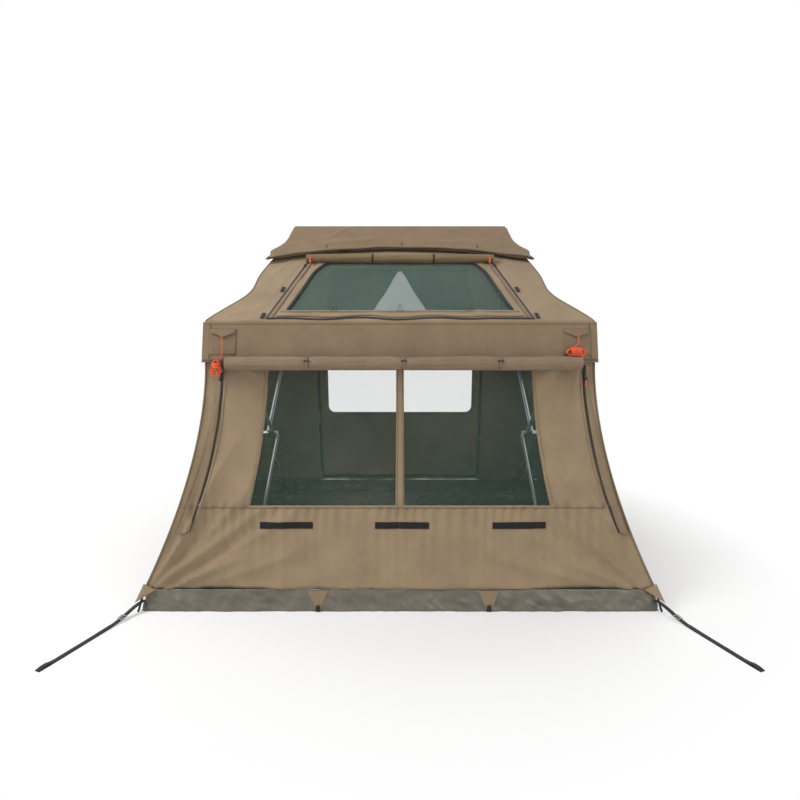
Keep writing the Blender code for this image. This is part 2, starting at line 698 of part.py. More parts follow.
def foot_bracket(name, side, end, plane):
    """A plate on the floor with two cheeks and the pivot pin that the lower arm turns on."""
    y = end * BAR_Y
    plate_top = FABRIC + SEAM_GAP + FOOT_PLATE[2]
    bm = bmesh.new()
    box(bm, (side * plane, y, FABRIC + SEAM_GAP + FOOT_PLATE[2] / 2), FOOT_PLATE)
    obj = finish(name, bm, "steel", (side * plane, y, FABRIC + SEAM_GAP))
    bm = bmesh.new()
    half_gap = ARM_RADIUS + RUNNING_GAP
    cheek_top = FOOT_PIVOT_HEIGHT + 2 * PIVOT_RADIUS
    for k in (-1, 1):
        x = side * plane + k * (half_gap + CHEEK / 2)
        height = cheek_top - plate_top + FOOT_PLATE[2] / 2
        box(bm, (x, y, cheek_top - height / 2), (CHEEK, 4 * PIVOT_RADIUS, height))
    boolean(obj, helper(f"{name}_cheeks", bm, (side * plane, y, 0)), "UNION")
    bm = bmesh.new()
    reach = half_gap + CHEEK / 2
    cylinder(bm, (side * plane - reach, y, FOOT_PIVOT_HEIGHT), (side * plane + reach, y, FOOT_PIVOT_HEIGHT),
             PIVOT_RADIUS)
    boolean(obj, helper(f"{name}_pin", bm, (side * plane, y, 0)), "UNION")


def eave_lug(bar, name, side, end):
    """A collar on the eave bar with a plate below it, slotted upright for the upper arm's pin."""
    inner, outer = lug_span(leg_planes(end)[1])
    y = end * BAR_Y
    middle = side * (inner + outer) / 2
    low = EAVE_PIVOT_Z - 2 * PIVOT_BORE
    bm = bmesh.new()
    half = LUG_COLLAR_LENGTH / 2
    cylinder(bm, (middle - half, y, BAR_Z), (middle + half, y, BAR_Z), BAR_RADIUS + SLEEVE_WALL)
    boolean(bar, helper(f"{name}_collar", bm), "UNION")
    bm = bmesh.new()
    box(bm, (middle, y, (BAR_Z + low) / 2), (outer - inner, 2 * BRACKET_HALF_WIDTH, BAR_Z - low))
    boolean(bar, helper(f"{name}_plate", bm), "UNION")
    bm = bmesh.new()
    slot_low = EAVE_PIVOT_Z - PIVOT_BORE
    slot_high = EAVE_PIVOT_Z + SLOT_TRAVEL
    box(bm, (middle, y, (slot_low + slot_high) / 2), (LUG_COLLAR_LENGTH, 2 * PIVOT_BORE, slot_high - slot_low))
    boolean(bar, helper(f"{name}_slot", bm), "DIFFERENCE")


def zip_slider(name, side):
    """A slider of the skylight cover's zip, at the top of its run on the front slope."""
    x = side * SLIDER_SHARE * hip_x(SLIDER_TOP)
    width, length, height = SLIDER_SIZE
    up = height / 2 + SEAM_GAP
    centre = Vector((x, -roof_y(SLIDER_TOP) - up * SLOPE_SIN, roof_z(SLIDER_TOP) + up * SLOPE_COS))
    bm = bmesh.new()
    box(bm, (0, 0, 0), SLIDER_SIZE)
    bmesh.ops.bevel(bm, geom=bm.edges[:], offset=0.0015, offset_type="OFFSET", segments=1, profile=0.5,
                    affect="EDGES", material=-1)
    turn = Matrix.Rotation(math.atan(SLOPE), 4, "X")
    bmesh.ops.transform(bm, matrix=Matrix.Translation(centre) @ turn, verts=bm.verts)
    finish(name, bm, "nylon", centre)


def smooth_route(points, parts):
    """Points on a smooth curve through the route's own points."""
    ends = [Vector(points[0]) * 2 - Vector(points[1])] + [Vector(p) for p in points]
    ends.append(Vector(points[-1]) * 2 - Vector(points[-2]))
    route = []
    for i in range(1, len(ends) - 2):
        a, b, c, d = ends[i - 1:i + 3]
        for k in range(parts):
            t = k / parts
            route.append(0.5 * (2 * b + (c - a) * t + (2 * a - 5 * b + 4 * c - d) * t * t
                                + (3 * b - a - 3 * c + d) * t ** 3))
    route.append(ends[-2])
    return route


def least_gap(points, radius, skip):
    """The least distance between a tube's surfaces at points that aren't neighbours."""
    least = 1.0
    for i, a in enumerate(points):
        for b in points[i + skip:]:
            least = min(least, (a - b).length - 2 * radius)
    return least


def guy_rope(name, spec):
    """A short drop from the eave's corner, and the rest of the rope wound in a small hank."""
    side = spec["side"]
    drop_x, drop_z = spec["drop"]
    hank_x, hank_z = spec["hank"]
    half_x, half_z = spec["half"]
    band_face = EAVE_HALF_DEPTH + FABRIC + SEAM_GAP + BAND_FLARE
    first_y = -(band_face + ROPE_RADIUS + 4 * SEAM_GAP)
    count = 24
    loops = []
    for i in range(ROPE_TURNS * count + 1):
        angle = math.pi / 2 + 2 * math.pi * i / count
        across = math.copysign(abs(math.cos(angle)) ** 0.8, math.cos(angle))
        rise = math.copysign(abs(math.sin(angle)) ** 0.8, math.sin(angle))
        loops.append(Vector((side * (hank_x + half_x * across), first_y - ROPE_PITCH * i / count,
                             hank_z + half_z * rise)))
    print(f"{name} hank: least gap to itself {least_gap(loops, ROPE_RADIUS, 6) * 1000:.2f} mm")
    wire(f"{name}_guy_hank", loops, ROPE_RADIUS, "rope", 1)
    exit_y = -(EAVE_HALF_DEPTH + FABRIC + SEAM_GAP + band_flare(drop_z) + SEAM_GAP)
    start = Vector((side * drop_x, exit_y, drop_z))
    end = loops[0] + Vector((0, 0, 1)) * (ROPE_RADIUS + SEAM_GAP)
    route = [start, start + Vector((0, -0.007, -0.0005)), start + Vector((0, -0.0155, -0.006))]
    route.append(Vector((start.x, first_y, drop_z - 0.022)))
    route.append((route[-1] + end) / 2)
    route.append(end)
    wire(f"{name}_guy_drop", smooth_route(route, 4), ROPE_RADIUS, "rope", 2)


def ground_strap(name, side):
    """Flat webbing that runs from the floor's front corner along the ground, towards its peg."""
    route = smooth_route([Vector((side * x, y, z)) for x, y, z in STRAP_ROUTE], 2)
    bm = bmesh.new()

    def place(across, at):
        i = round(at)
        before, after = route[max(i - 1, 0)], route[min(i + 1, len(route) - 1)]
        sideways = (after - before).cross(Vector((0, 0, 1))).normalized()
        return route[i] + sideways * across * STRAP_HALF_WIDTH

    grid(bm, [-1, 1], list(range(len(route))), place)
    sheet(f"{name}_ground_strap", bm, "webbing", STRAP_THICKNESS)


clear_scene()
TENT = new_collection("quick_pitch_tent")
CUTTERS = new_collection("cutters")

floor_tub()
front_wall()
front_window_net()
back_wall()
back_door()
back_door_net()
roof_canopy()
skylight_net("front", -1)
skylight_net("back", 1)
roof_fly()
eave_band()
window_roll()
skylight_roll()
eave_frame()
ridge_frame()
for SIDE_NAME, SIDE in (("left", -1), ("right", 1)):
    side_wall(SIDE_NAME, SIDE)
    side_window_net(SIDE_NAME, SIDE)
    for END_NAME, END in (("front", -1), ("back", 1)):
        leg(SIDE_NAME, SIDE, END_NAME, END)
    zip_slider(f"{SIDE_NAME}_skylight_slider", SIDE)
    guy_rope(SIDE_NAME, ROPES[SIDE_NAME])
    ground_strap(SIDE_NAME, SIDE)
    peg_tab(SIDE_NAME, PEG_TABS[SIDE_NAME])
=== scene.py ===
"""Looks of a quick-pitch tent: its cloth, nets, ropes, webbing and fittings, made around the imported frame."""

import json
import math

import bmesh
import bpy
from bpy.props import FloatProperty, FloatVectorProperty, PointerProperty
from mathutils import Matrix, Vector, noise


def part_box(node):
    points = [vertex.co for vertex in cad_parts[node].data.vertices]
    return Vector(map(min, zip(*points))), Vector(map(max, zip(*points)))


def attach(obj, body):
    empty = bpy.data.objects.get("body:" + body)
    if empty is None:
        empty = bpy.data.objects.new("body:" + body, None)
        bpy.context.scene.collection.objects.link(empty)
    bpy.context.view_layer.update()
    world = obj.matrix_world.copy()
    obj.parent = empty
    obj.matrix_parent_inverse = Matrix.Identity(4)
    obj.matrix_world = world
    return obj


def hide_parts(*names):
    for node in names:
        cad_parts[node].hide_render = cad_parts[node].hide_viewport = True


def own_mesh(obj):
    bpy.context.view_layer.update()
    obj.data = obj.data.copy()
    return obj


bl_info = {
    "name": "Quick-Pitch Tent",
    "version": (1, 0, 0),
    "blender": (4, 5, 0),
    "location": "3D View > Sidebar > Tent",
    "description": "Makes the cloth, ropes and fittings of a quick-pitch tent around its frame",
    "category": "Object",
}

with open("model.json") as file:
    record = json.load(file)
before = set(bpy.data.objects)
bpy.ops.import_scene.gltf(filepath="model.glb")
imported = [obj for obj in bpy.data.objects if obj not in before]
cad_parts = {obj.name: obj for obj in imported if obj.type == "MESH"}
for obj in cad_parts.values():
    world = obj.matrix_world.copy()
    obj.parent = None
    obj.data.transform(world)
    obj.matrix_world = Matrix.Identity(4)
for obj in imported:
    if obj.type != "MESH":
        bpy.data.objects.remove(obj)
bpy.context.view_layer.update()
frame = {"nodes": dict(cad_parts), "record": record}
TUB_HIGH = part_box("floor_tub")[1]
ROOF_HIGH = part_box("roof_canopy")[1]
BAND_LOW, BAND_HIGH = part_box("eave_band")
ROLL_LOW, ROLL_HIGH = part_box("window_cover_roll")
SKY_ROLL_LOW, SKY_ROLL_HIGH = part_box("skylight_cover_roll")
DOOR_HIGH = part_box("back_door")[1]

# The form of the cloth, in metres, as the frame has it
FLOOR_HALF_WIDTH, FLOOR_HALF_DEPTH, TUB_HEIGHT = TUB_HIGH
EAVE_HALF_WIDTH, EAVE_HALF_DEPTH, RIDGE_HEIGHT = ROOF_HIGH
EAVE_HEIGHT, BAND_HEM = BAND_HIGH.z, BAND_LOW.z
TUB_LEAN = 0.02
TUB_CORNER = 0.03
RIDGE_HALF_LENGTH = 0.65
HIP_SAG = 0.05
FLARE_POWER = 1.7
BAND_FLARE = 0.03
CLOTH = 0.0016
BAND_GAP = 0.0035
WALL_TOP = EAVE_HEIGHT - 0.03
WALL_FOOT = TUB_HEIGHT + 0.0015
STRAIGHT_HALF_WIDTH = 0.70
WINDOW_SILL, WINDOW_HEAD, WINDOW_SHARE, STRIP_SHARE = 0.52, 1.197, 0.68, 0.02
SIDE_WINDOW_SILL, SIDE_WINDOW_SHARE = 0.75, 0.50
DOOR_WINDOW_HALF_WIDTH, DOOR_WINDOW_SILL, DOOR_WINDOW_HEAD = 0.576, 0.696, 1.15
SKYLIGHT_LOW, SKYLIGHT_HIGH, SKYLIGHT_SHARE = 0.10, 0.58, 0.62
FLY_CORNER, FLY_ARCH, FLY_LIFT_RIDGE, FLY_LIFT_HEM = 0.54, 0.13, 0.0045, 0.025
FLY_ASIDE = 0.007
# The skylight's two zips: their foot and top as shares of the slope, and how far out they lie there
ZIP_FOOT, ZIP_TOP, ZIP_FOOT_X, ZIP_TOP_X = 0.026, 0.565, 0.665, 0.526
INSIDE = Vector((0.0, 0.0, 0.8))

# How far the standing cloth would be pressed together when the roof is down; a piece given one only gets a mesh
# of its own here
WALL_SQUASH = {"joint": "roof_lower", "axis": (0, 0, 1), "anchor": (0, 0, TUB_HEIGHT), "keep": 0.03}
DOOR_SQUASH = {"joint": "roof_lower", "axis": (0, 0, 1), "anchor": (0, 0, DOOR_HIGH.z), "keep": 0.07}

# The hook tapes under the window, which hold its cover when it is down
HOOK_TAPES = {"left": (-0.705, -0.44), "middle": (-0.125, 0.145), "right": (0.465, 0.735)}
HOOK_TAPE_Z = (0.405, 0.437)

# The cords' routes, as the frame has them
ROPE_RADIUS = 0.002
ROPE_TURNS = 6
ROPE_PITCH = 0.0052
TURN_POINTS = 24
SEAM_GAP = 0.0005
ROPES = {
    "left": {"side": -1, "drop": (0.872, 1.372), "hank": (0.898, 1.212), "half": (0.032, 0.040), "wraps": 7},
    "right": {"side": 1, "drop": (0.872, 1.380), "hank": (0.858, 1.291), "half": (0.048, 0.017), "wraps": 10},
}
# The wraps round each hank lie this far from its loops, and this far apart round a neck and on a flat hank
WRAP_GAP = 0.0035
NECK_STEP = 0.0043
FLAT_STEP = 0.0057
STRAP_WIDTH = 0.025
STRAP_ROUTE = [(1.2816, -1.0316, 0.050), (1.300, -1.053, 0.045), (1.323, -1.090, 0.031),
               (1.347, -1.140, 0.014), (1.371, -1.200, 0.004), (1.404, -1.285, 0.0010),
               (1.440, -1.385, 0.0008), (1.474, -1.480, 0.0008), (1.507, -1.567, 0.0008)]

# The small sizes of trim: how far a net laps behind its opening and lies in from the cloth, the thickness
# of tape, hem and strap, the floor's gap to the tub wall, how near points are joined, and where ties lie
NET_LAP = 0.02
NET_LIFT = -CLOTH - 0.001
TAPE = 0.0015
HEM = 0.001
STRAP_THICKNESS = 0.0018
FLOOR_INSET = 0.004
WELD = 1e-5
TIE_SHARES = (0.23, 0.5, 0.77)

UP = Vector((0, 0, 1))
SIDES = (("left", -1), ("right", 1))
ENDS = (("front", -1), ("back", 1))

# The slot of the record that each finish fills, as tables that are made here and not kept
dict.fromkeys(("canvas", "fly", "cover", "hem", "patch", "cover_patch", "cover_hem"), "canvas")
dict.fromkeys(("net", "roof_net", "far_net"), "net")
dict.fromkeys(("webbing", "tape", "hook"), "webbing")

# The camera that the photograph was fitted with
CAMERA_PLACE = (0.0, -3.88, 1.46)
CAMERA_DROP = math.atan(83 / 600)
CAMERA_LENS = 27.0


def colour(hex_value):
    """A linear colour from an sRGB hex value."""
    channels = [int(hex_value[i:i + 2], 16) / 255 for i in (1, 3, 5)]
    return tuple(c / 12.92 if c <= 0.04045 else ((c + 0.055) / 1.055) ** 2.4 for c in channels)


def tint(name, description, hex_value):
    return FloatVectorProperty(name=name, description=description, subtype="COLOR", default=colour(hex_value),
                               min=0, max=1)


class TentColours(bpy.types.PropertyGroup):
    """The colours of the tent's finishes."""

    canvas: tint("Canvas", "Colour of the walls and roof", "#948066")
    cover: tint("Cover canvas", "Colour of the fly, band and rolled covers", "#84705a")
    tub: tint("Tub", "Colour of the coated floor tub", "#6a6458")
    net: tint("Window net", "Colour of the window net", "#688478")
    roof_net: tint("Skylight net", "Colour of the skylight's net", "#647a72")
    rope: tint("Rope", "Colour of the guy ropes and toggles", "#f2613a")


class TentSizes(bpy.types.PropertyGroup):
    """The small sizes that shape the cloth's looks."""

    wrinkle: FloatProperty(name="Wrinkle depth", description="Depth of the broad creases in the cloth",
                           default=0.0092, min=0, max=0.01, unit="LENGTH")
    gather: FloatProperty(name="Gather pitch", description="Distance between the gathers under the window",
                          default=0.055, min=0.02, max=0.2, unit="LENGTH")
    seam: FloatProperty(name="Seam width", description="Width of a lapped and stitched seam",
                        default=0.014, min=0.005, max=0.05, unit="LENGTH")


def zip_x(up):
    """How far from the middle the skylight's zip lies at a share of the slope."""
    return ZIP_FOOT_X + (ZIP_TOP_X - ZIP_FOOT_X) * (up - ZIP_FOOT) / (ZIP_TOP - ZIP_FOOT)


def spread(low, high, cells):
    """Evenly spread values from low to high."""
    return [low + (high - low) * i / cells for i in range(cells + 1)]


def clamp(value):
    return min(1.0, max(0.0, value))


def bell(value, middle, reach):
    """A soft hump: 1 at its middle, and nearly gone at twice its reach."""
    return math.exp(-((value - middle) / reach) ** 2)


def flare(z):
    """How far a wall is drawn out: 1 at the tub, 0 at the eave band's hem."""
    return (1.0 - clamp((z - TUB_HEIGHT) / (BAND_HEM - TUB_HEIGHT))) ** FLARE_POWER


def half_width(z):
    return EAVE_HALF_WIDTH + (FLOOR_HALF_WIDTH - TUB_LEAN - EAVE_HALF_WIDTH) * flare(z)


def half_depth(z):
    return EAVE_HALF_DEPTH + (FLOOR_HALF_DEPTH - TUB_LEAN - EAVE_HALF_DEPTH) * flare(z)


def frame_hip_x(s):
    """The hip of the frame's own roof solid."""
    return EAVE_HALF_WIDTH + (RIDGE_HALF_LENGTH - EAVE_HALF_WIDTH) * s - HIP_SAG * math.sin(math.pi * s)


def hip_x(s):
    """The hip as the cloth hangs: drawn in further than its solid, mostly low down."""
    return frame_hip_x(s) - 0.055 * bell(s, 0.25, 0.14) * min(1.0, s / 0.08) - 0.013 * bell(s, 0.80, 0.09)


def roof_y(s):
    return EAVE_HALF_DEPTH * (1 - s)


def roof_z(s):
    return EAVE_HEIGHT + (RIDGE_HEIGHT - EAVE_HEIGHT) * s


def band_out(z):
    return BAND_GAP + BAND_FLARE * (EAVE_HEIGHT - z) / (EAVE_HEIGHT - BAND_HEM)


def ripple(x, y, z, seed=0.0):
    """Soft noise from -1 to 1, the same on each run."""
    return noise.noise(Vector((x + seed, y - seed, z + 3.1 * seed)))


def front_wall_at(u, z):
    return Vector((u * half_width(z), -half_depth(z), z))


def front_wall_xz(x, z):
    return Vector((x, -half_depth(z), z))


def back_wall_at(x, z):
    if abs(x) > STRAIGHT_HALF_WIDTH:
        share = (abs(x) - STRAIGHT_HALF_WIDTH) / (EAVE_HALF_WIDTH - STRAIGHT_HALF_WIDTH)
        x = math.copysign(STRAIGHT_HALF_WIDTH + share * (half_width(z) - STRAIGHT_HALF_WIDTH), x)
    return Vector((x, half_depth(z), z))


def side_wall_at(side):
    return lambda v, z: Vector((side * half_width(z), v * (half_depth(z) - 0.006), z))


def slope_at(end):
    """A roof slope, where u is a share of the hip. The skylight keeps its place, and the hips draw in."""
    def place(u, s):
        edge = SKYLIGHT_SHARE * frame_hip_x(s)
        if abs(u) <= SKYLIGHT_SHARE:
            x = u * frame_hip_x(s)
        else:
            x = math.copysign(edge + (abs(u) - SKYLIGHT_SHARE) / (1 - SKYLIGHT_SHARE) * (hip_x(s) - edge), u)
        return Vector((x, end * roof_y(s), roof_z(s)))

    return place


def slope_by_x(end):
    return lambda x, s: Vector((x, end * roof_y(s), roof_z(s)))


def hip_end_at(side):
    return lambda v, s: Vector((side * hip_x(s), v * roof_y(s), roof_z(s)))


def fly_share(across, up):
    hem = FLY_CORNER + FLY_ARCH * (1 - across * across)
    return hem + (1 - hem) * up


def fly_edge(s):
    """How far the fly's hip lies from the middle: its turned-up hem stands out as a soft shelf."""
    return hip_x(s) + FLY_ASIDE + 0.028 * bell(s, 0.655, 0.05)


def fly_lift(s):
    return FLY_LIFT_RIDGE + FLY_LIFT_HEM * (1 - s) / (1 - FLY_CORNER)


def fly_point(across, along, s):
    return Vector((across * fly_edge(s), along * roof_y(s), roof_z(s) + fly_lift(s)))


def fly_slope_at(end):
    return lambda u, up: fly_point(u, end, fly_share(u, up))


def fly_end_at(side):
    return lambda v, up: fly_point(side, v, fly_share(v, up))


def band_at(face):
    """The eave band's faces. Its front and back hang out at the hem, and its sides lie close to the walls."""
    def place(t, z):
        out = band_out(z)
        aside = BAND_GAP + 0.25 * (out - BAND_GAP)
        if face in ("front", "back"):
            end = -1 if face == "front" else 1
            return Vector((t * (EAVE_HALF_WIDTH + aside), end * (EAVE_HALF_DEPTH + out), z))
        side = -1 if face == "left" else 1
        return Vector((side * (EAVE_HALF_WIDTH + aside), t * (EAVE_HALF_DEPTH + out), z))

    return place


def ridged(x, y, z, seed=0.0):
    """Noise from 0 to 1 with sharp crests, as in creased cloth."""
    return 1.0 - min(1.0, 2.2 * abs(ripple(x, y, z, seed)))


def fan(across, up, folds, near, reach, seed):
    """Folds that fan out of a corner where the cloth is pulled, from the distances to that corner."""
    radius = math.hypot(across, up)
    turn = math.atan2(up, across)
    swing = math.sin(folds * turn / 2 + 1.5 * ripple(turn * 3, radius * 1.5, seed, seed))
    return bell(radius, near, reach) * (1.3 - 2.6 * abs(swing) ** 0.8)


def wall_wave(point, edge):
    """Creases of a standing wall: broad ones, gathers under the window seam, fans from the pulled corners
    and puckers at the tub."""
    sizes = bpy.context.scene.tent_sizes
    x, y, z = point
    faces_y = abs(y) > 0.88 * EAVE_HALF_DEPTH and abs(x) < abs(y) + 0.4
    along, corner = (x, FLOOR_HALF_WIDTH) if faces_y else (y, FLOOR_HALF_DEPTH)
    side = 0.0 if along < 0 else 2.3
    wave = 0.50 * ripple(along * 2.6, z * 1.2, 0.0) + 0.30 * ripple(along * 6.0, z * 1.8, 1.7)
    wave += 0.85 * (ridged(along * 2.2 + z * 2.6, along * 0.8 - z * 0.9, 4.2, side) - 0.5)
    wave += 1.25 * fan(corner - abs(along), z - TUB_HEIGHT + 0.06, 19.0, 0.34, 0.26, 5.0 + side)
    if faces_y:
        wave += 0.60 * fan(corner - abs(along), z - TUB_HEIGHT + 0.10, 36.0, 0.66, 0.30, 11.0 + side)
    wave += 0.90 * fan(EAVE_HALF_WIDTH - abs(along), EAVE_HEIGHT - z, 15.0, 0.25, 0.20, 7.0 + side)
    if z < WINDOW_SILL and faces_y and y < 0:
        fade = math.exp(-(WINDOW_SILL - z) / (0.13 + 0.09 * ripple(along * 8, 0, 0, 6.0)))
        fade *= tape_calm(along, z)
        wave += 0.75 * fade * math.sin(2 * math.pi * along / sizes.gather + 5 * ripple(along * 4, 0, 0, 2.0))
        wave += 0.95 * (ridged(along * 5.5, z * 1.1, 0.0, 8.0) - 0.4) * calm(2 * z / WINDOW_SILL - 1, 0.4)
    edge_run = (abs(along) - half_width(z)) / 0.11 if faces_y else 1.0
    if faces_y and y < 0:
        lean = 24.0 * (half_width(z) - abs(along)) + 5.0 * z + side
        wave += 0.8 * math.exp(-edge_run * edge_run) * (1 - 1.7 * abs(math.sin(lean)))
    wave += 0.9 * math.exp(-(z - TUB_HEIGHT) / 0.030) * ripple(along * 17.0, z * 4, 0.0, 3.0)
    return sizes.wrinkle * wave * edge * rim_calm(point)


def band_wave(point, t, z):
    """The eave band hangs straight from its seam and swings out in soft folds at its hem."""
    down = (EAVE_HEIGHT - z) / (EAVE_HEIGHT - BAND_HEM)
    along = point.x if abs(point.y) > EAVE_HALF_DEPTH else point.y
    fold = 0.0045 * down * (0.6 + ripple(along * 9, z * 5, 0, 8.0))
    fold += 0.0034 * min(1.0, 2.5 * down) * (ridged(along * 2.6 + z, z * 1.2, 0, 3.0) - 0.35)
    return fold * calm(t, 0.12)


def tape_calm(x, z):
    """The stiff hook tapes hold the gathers nearly flat."""
    near = math.exp(-((z - sum(HOOK_TAPE_Z) / 2) / 0.032) ** 4)
    held = max(clamp((x - a + 0.02) / 0.03) * clamp((b + 0.02 - x) / 0.03) for a, b in HOOK_TAPES.values())
    return 1 - 0.85 * near * held


def rim_calm(point):
    """Fades the creases to nothing at the rim of the wall's window."""
    x, y, z = point
    if y < -0.88 * EAVE_HALF_DEPTH and abs(x) < 0.9 * half_width(z):
        across, low, high = abs(x) - WINDOW_SHARE * half_width(z), WINDOW_SILL, WINDOW_HEAD
    elif y > 0.88 * EAVE_HALF_DEPTH and abs(x) < STRAIGHT_HALF_WIDTH:
        across, low, high = abs(x) - DOOR_WINDOW_HALF_WIDTH, DOOR_WINDOW_SILL, DOOR_WINDOW_HEAD
    else:
        across, low, high = abs(y) - SIDE_WINDOW_SHARE * half_depth(z), SIDE_WINDOW_SILL, WINDOW_HEAD
    away = max(across, low - z, z - high)
    return min(1.0, max(0.0, away) / 0.022)


def calm(value, ease=0.06):
    """Fades creases out near the edge of a piece, where value runs from -1 to 1."""
    return min(1.0, (1.0 - abs(value)) / ease)


def creased(point, u, z):
    """The creases of a wall whose width u runs from -1 to 1."""
    return wall_wave(point, calm(u))


def outward(surface, u, v):
    """The normal of a surface, on the side away from the tent's inside."""
    step = 1e-3
    a = surface(u + step, v) - surface(u - step, v)
    b = surface(u, v + step) - surface(u, v - step)
    normal = a.cross(b).normalized()
    return normal if normal.dot(surface(u, v) - INSIDE) > 0 else -normal


def cloth(surface, us, vs, lift=0.0, wave=None, hole=None):
    """A sheet on a surface: a grid with columns at us and rows at vs, set out by its lift and creases."""
    bm = bmesh.new()
    columns, rows = len(us) - 1, len(vs) - 1
    uv = bm.loops.layers.uv.new("UVMap")
    at = {}
    for vert in bmesh.ops.create_grid(bm, x_segments=columns, y_segments=rows, size=1.0)["verts"]:
        u, v = us[round((vert.co.x + 1) / 2 * columns)], vs[round((vert.co.y + 1) / 2 * rows)]
        at[vert] = (u, v)
        point = surface(u, v)
        height = lift + (wave(point, u, v) if wave else 0.0)
        vert.co = point + outward(surface, u, v) * height if height else point
    for face in bm.faces:
        for loop in face.loops:
            loop[uv].uv = at[loop.vert]
    if hole:
        gone = []
        for face in bm.faces:
            if hole(*(sum(at[vert][k] for vert in face.verts) / len(face.verts) for k in (0, 1))):
                gone.append(face)
        bmesh.ops.delete(bm, geom=gone, context="FACES")
    return bm


def grid(columns, rows, place):
    """A sheet with each point put where place says, from u and v that run from -1 to 1."""
    bm = bmesh.new()
    for vert in bmesh.ops.create_grid(bm, x_segments=columns, y_segments=rows, size=1.0)["verts"]:
        vert.co = place(vert.co.x, vert.co.y)
    return bm


def merged(*parts):
    """One bmesh from several, with their shared edges joined."""
    whole = bmesh.new()
    for part in parts:
        mesh = bpy.data.meshes.new("part")
        part.to_mesh(mesh)
        part.free()
        whole.from_mesh(mesh)
        bpy.data.meshes.remove(mesh)
    bmesh.ops.remove_doubles(whole, verts=whole.verts, dist=WELD)
    return whole


def turned_out(bm):
    bm.normal_update()
    for face in bm.faces:
        if face.normal.dot(face.calc_center_median() - INSIDE) < 0:
            face.normal_flip()


def settle(obj, finish, body, nodes, squash=None):
    """Sets what a piece rides on and hides the frame nodes it stands for. Its finish is not used."""
    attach(obj, body)
    if nodes:
        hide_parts(*nodes)
    if squash:
        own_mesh(obj)
    return obj


def piece(name, bm, finish, body, nodes=(), thickness=0.0, squash=None, facing=True):
    """Makes an object of a bmesh in the frame's coordinates. A sheet faces away from the tent's inside."""
    if facing:
        turned_out(bm)
    else:
        bmesh.ops.recalc_face_normals(bm, faces=bm.faces)
    mesh = bpy.data.meshes.new(name)
    bm.to_mesh(mesh)
    bm.free()
    mesh.shade_smooth()
    mesh.set_sharp_from_angle(angle=math.radians(50))
    obj = bpy.data.objects.new(name, mesh)
    bpy.context.scene.collection.objects.link(obj)
    mesh.materials.append(FINISHES[finish])
    if thickness:
        solid = obj.modifiers.new("thickness", "SOLIDIFY")
        solid.thickness = thickness
        solid.offset = -1.0
    return settle(obj, finish, body, nodes, squash)


def net_pane(name, surface, us, vs, cells, finish, body, nodes, squash=None):
    """An insect net that laps behind the edges of its opening."""
    bm = cloth(surface, spread(*us, cells[0]), spread(vs[0] - NET_LAP, vs[1] + NET_LAP, cells[1]), NET_LIFT)
    piece(name, bm, finish, body, nodes, 0.0004, squash)


def add_node(tree, kind, settings=None, links=()):
    """Adds a node with its settings, and links (from_node, output, input) into it."""
    node = tree.nodes.new(kind)
    for name, value in (settings or {}).items():
        if hasattr(node, name):
            setattr(node, name, value)
        else:
            node.inputs[name].default_value = value
    for source, output, target in links:
        tree.links.new(source.outputs[output], node.inputs[target])
    return node


def new_material(name):
    """A material, its tree, shader and output, and the link that gives a texture the object's coordinates."""
    made = bpy.data.materials.new(name)
    made.use_nodes = True
    tree = made.node_tree
    tree.nodes.clear()
    out = add_node(tree, "ShaderNodeOutputMaterial")
    shader = add_node(tree, "ShaderNodeBsdfPrincipled")
    tree.links.new(shader.outputs[0], out.inputs["Surface"])
    where = add_node(tree, "ShaderNodeTexCoord")
    return made, tree, shader, out, [(where, "Object", "Vector")]


def feed(tree, shader, inputs):
    """Links each node given for a socket into it, and sets each number given on the socket."""
    for name, source in inputs.items():
        if isinstance(source, bpy.types.Node):
            tree.links.new(source.outputs[0], shader.inputs[name])
        else:
            shader.inputs[name].default_value = source


def shade(tree, source, dark, light, base):
    """Mixes a base colour between a darker and a lighter one by a texture."""
    ramp = add_node(tree, "ShaderNodeValToRGB", links=[(source, 0, 0)])
    low, high = ramp.color_ramp.elements
    low.color = [c * dark for c in base] + [1.0]
    low.position = 0.30
    high.color = [min(1.0, c * light) for c in base] + [1.0]
    high.position = 0.72
    return ramp


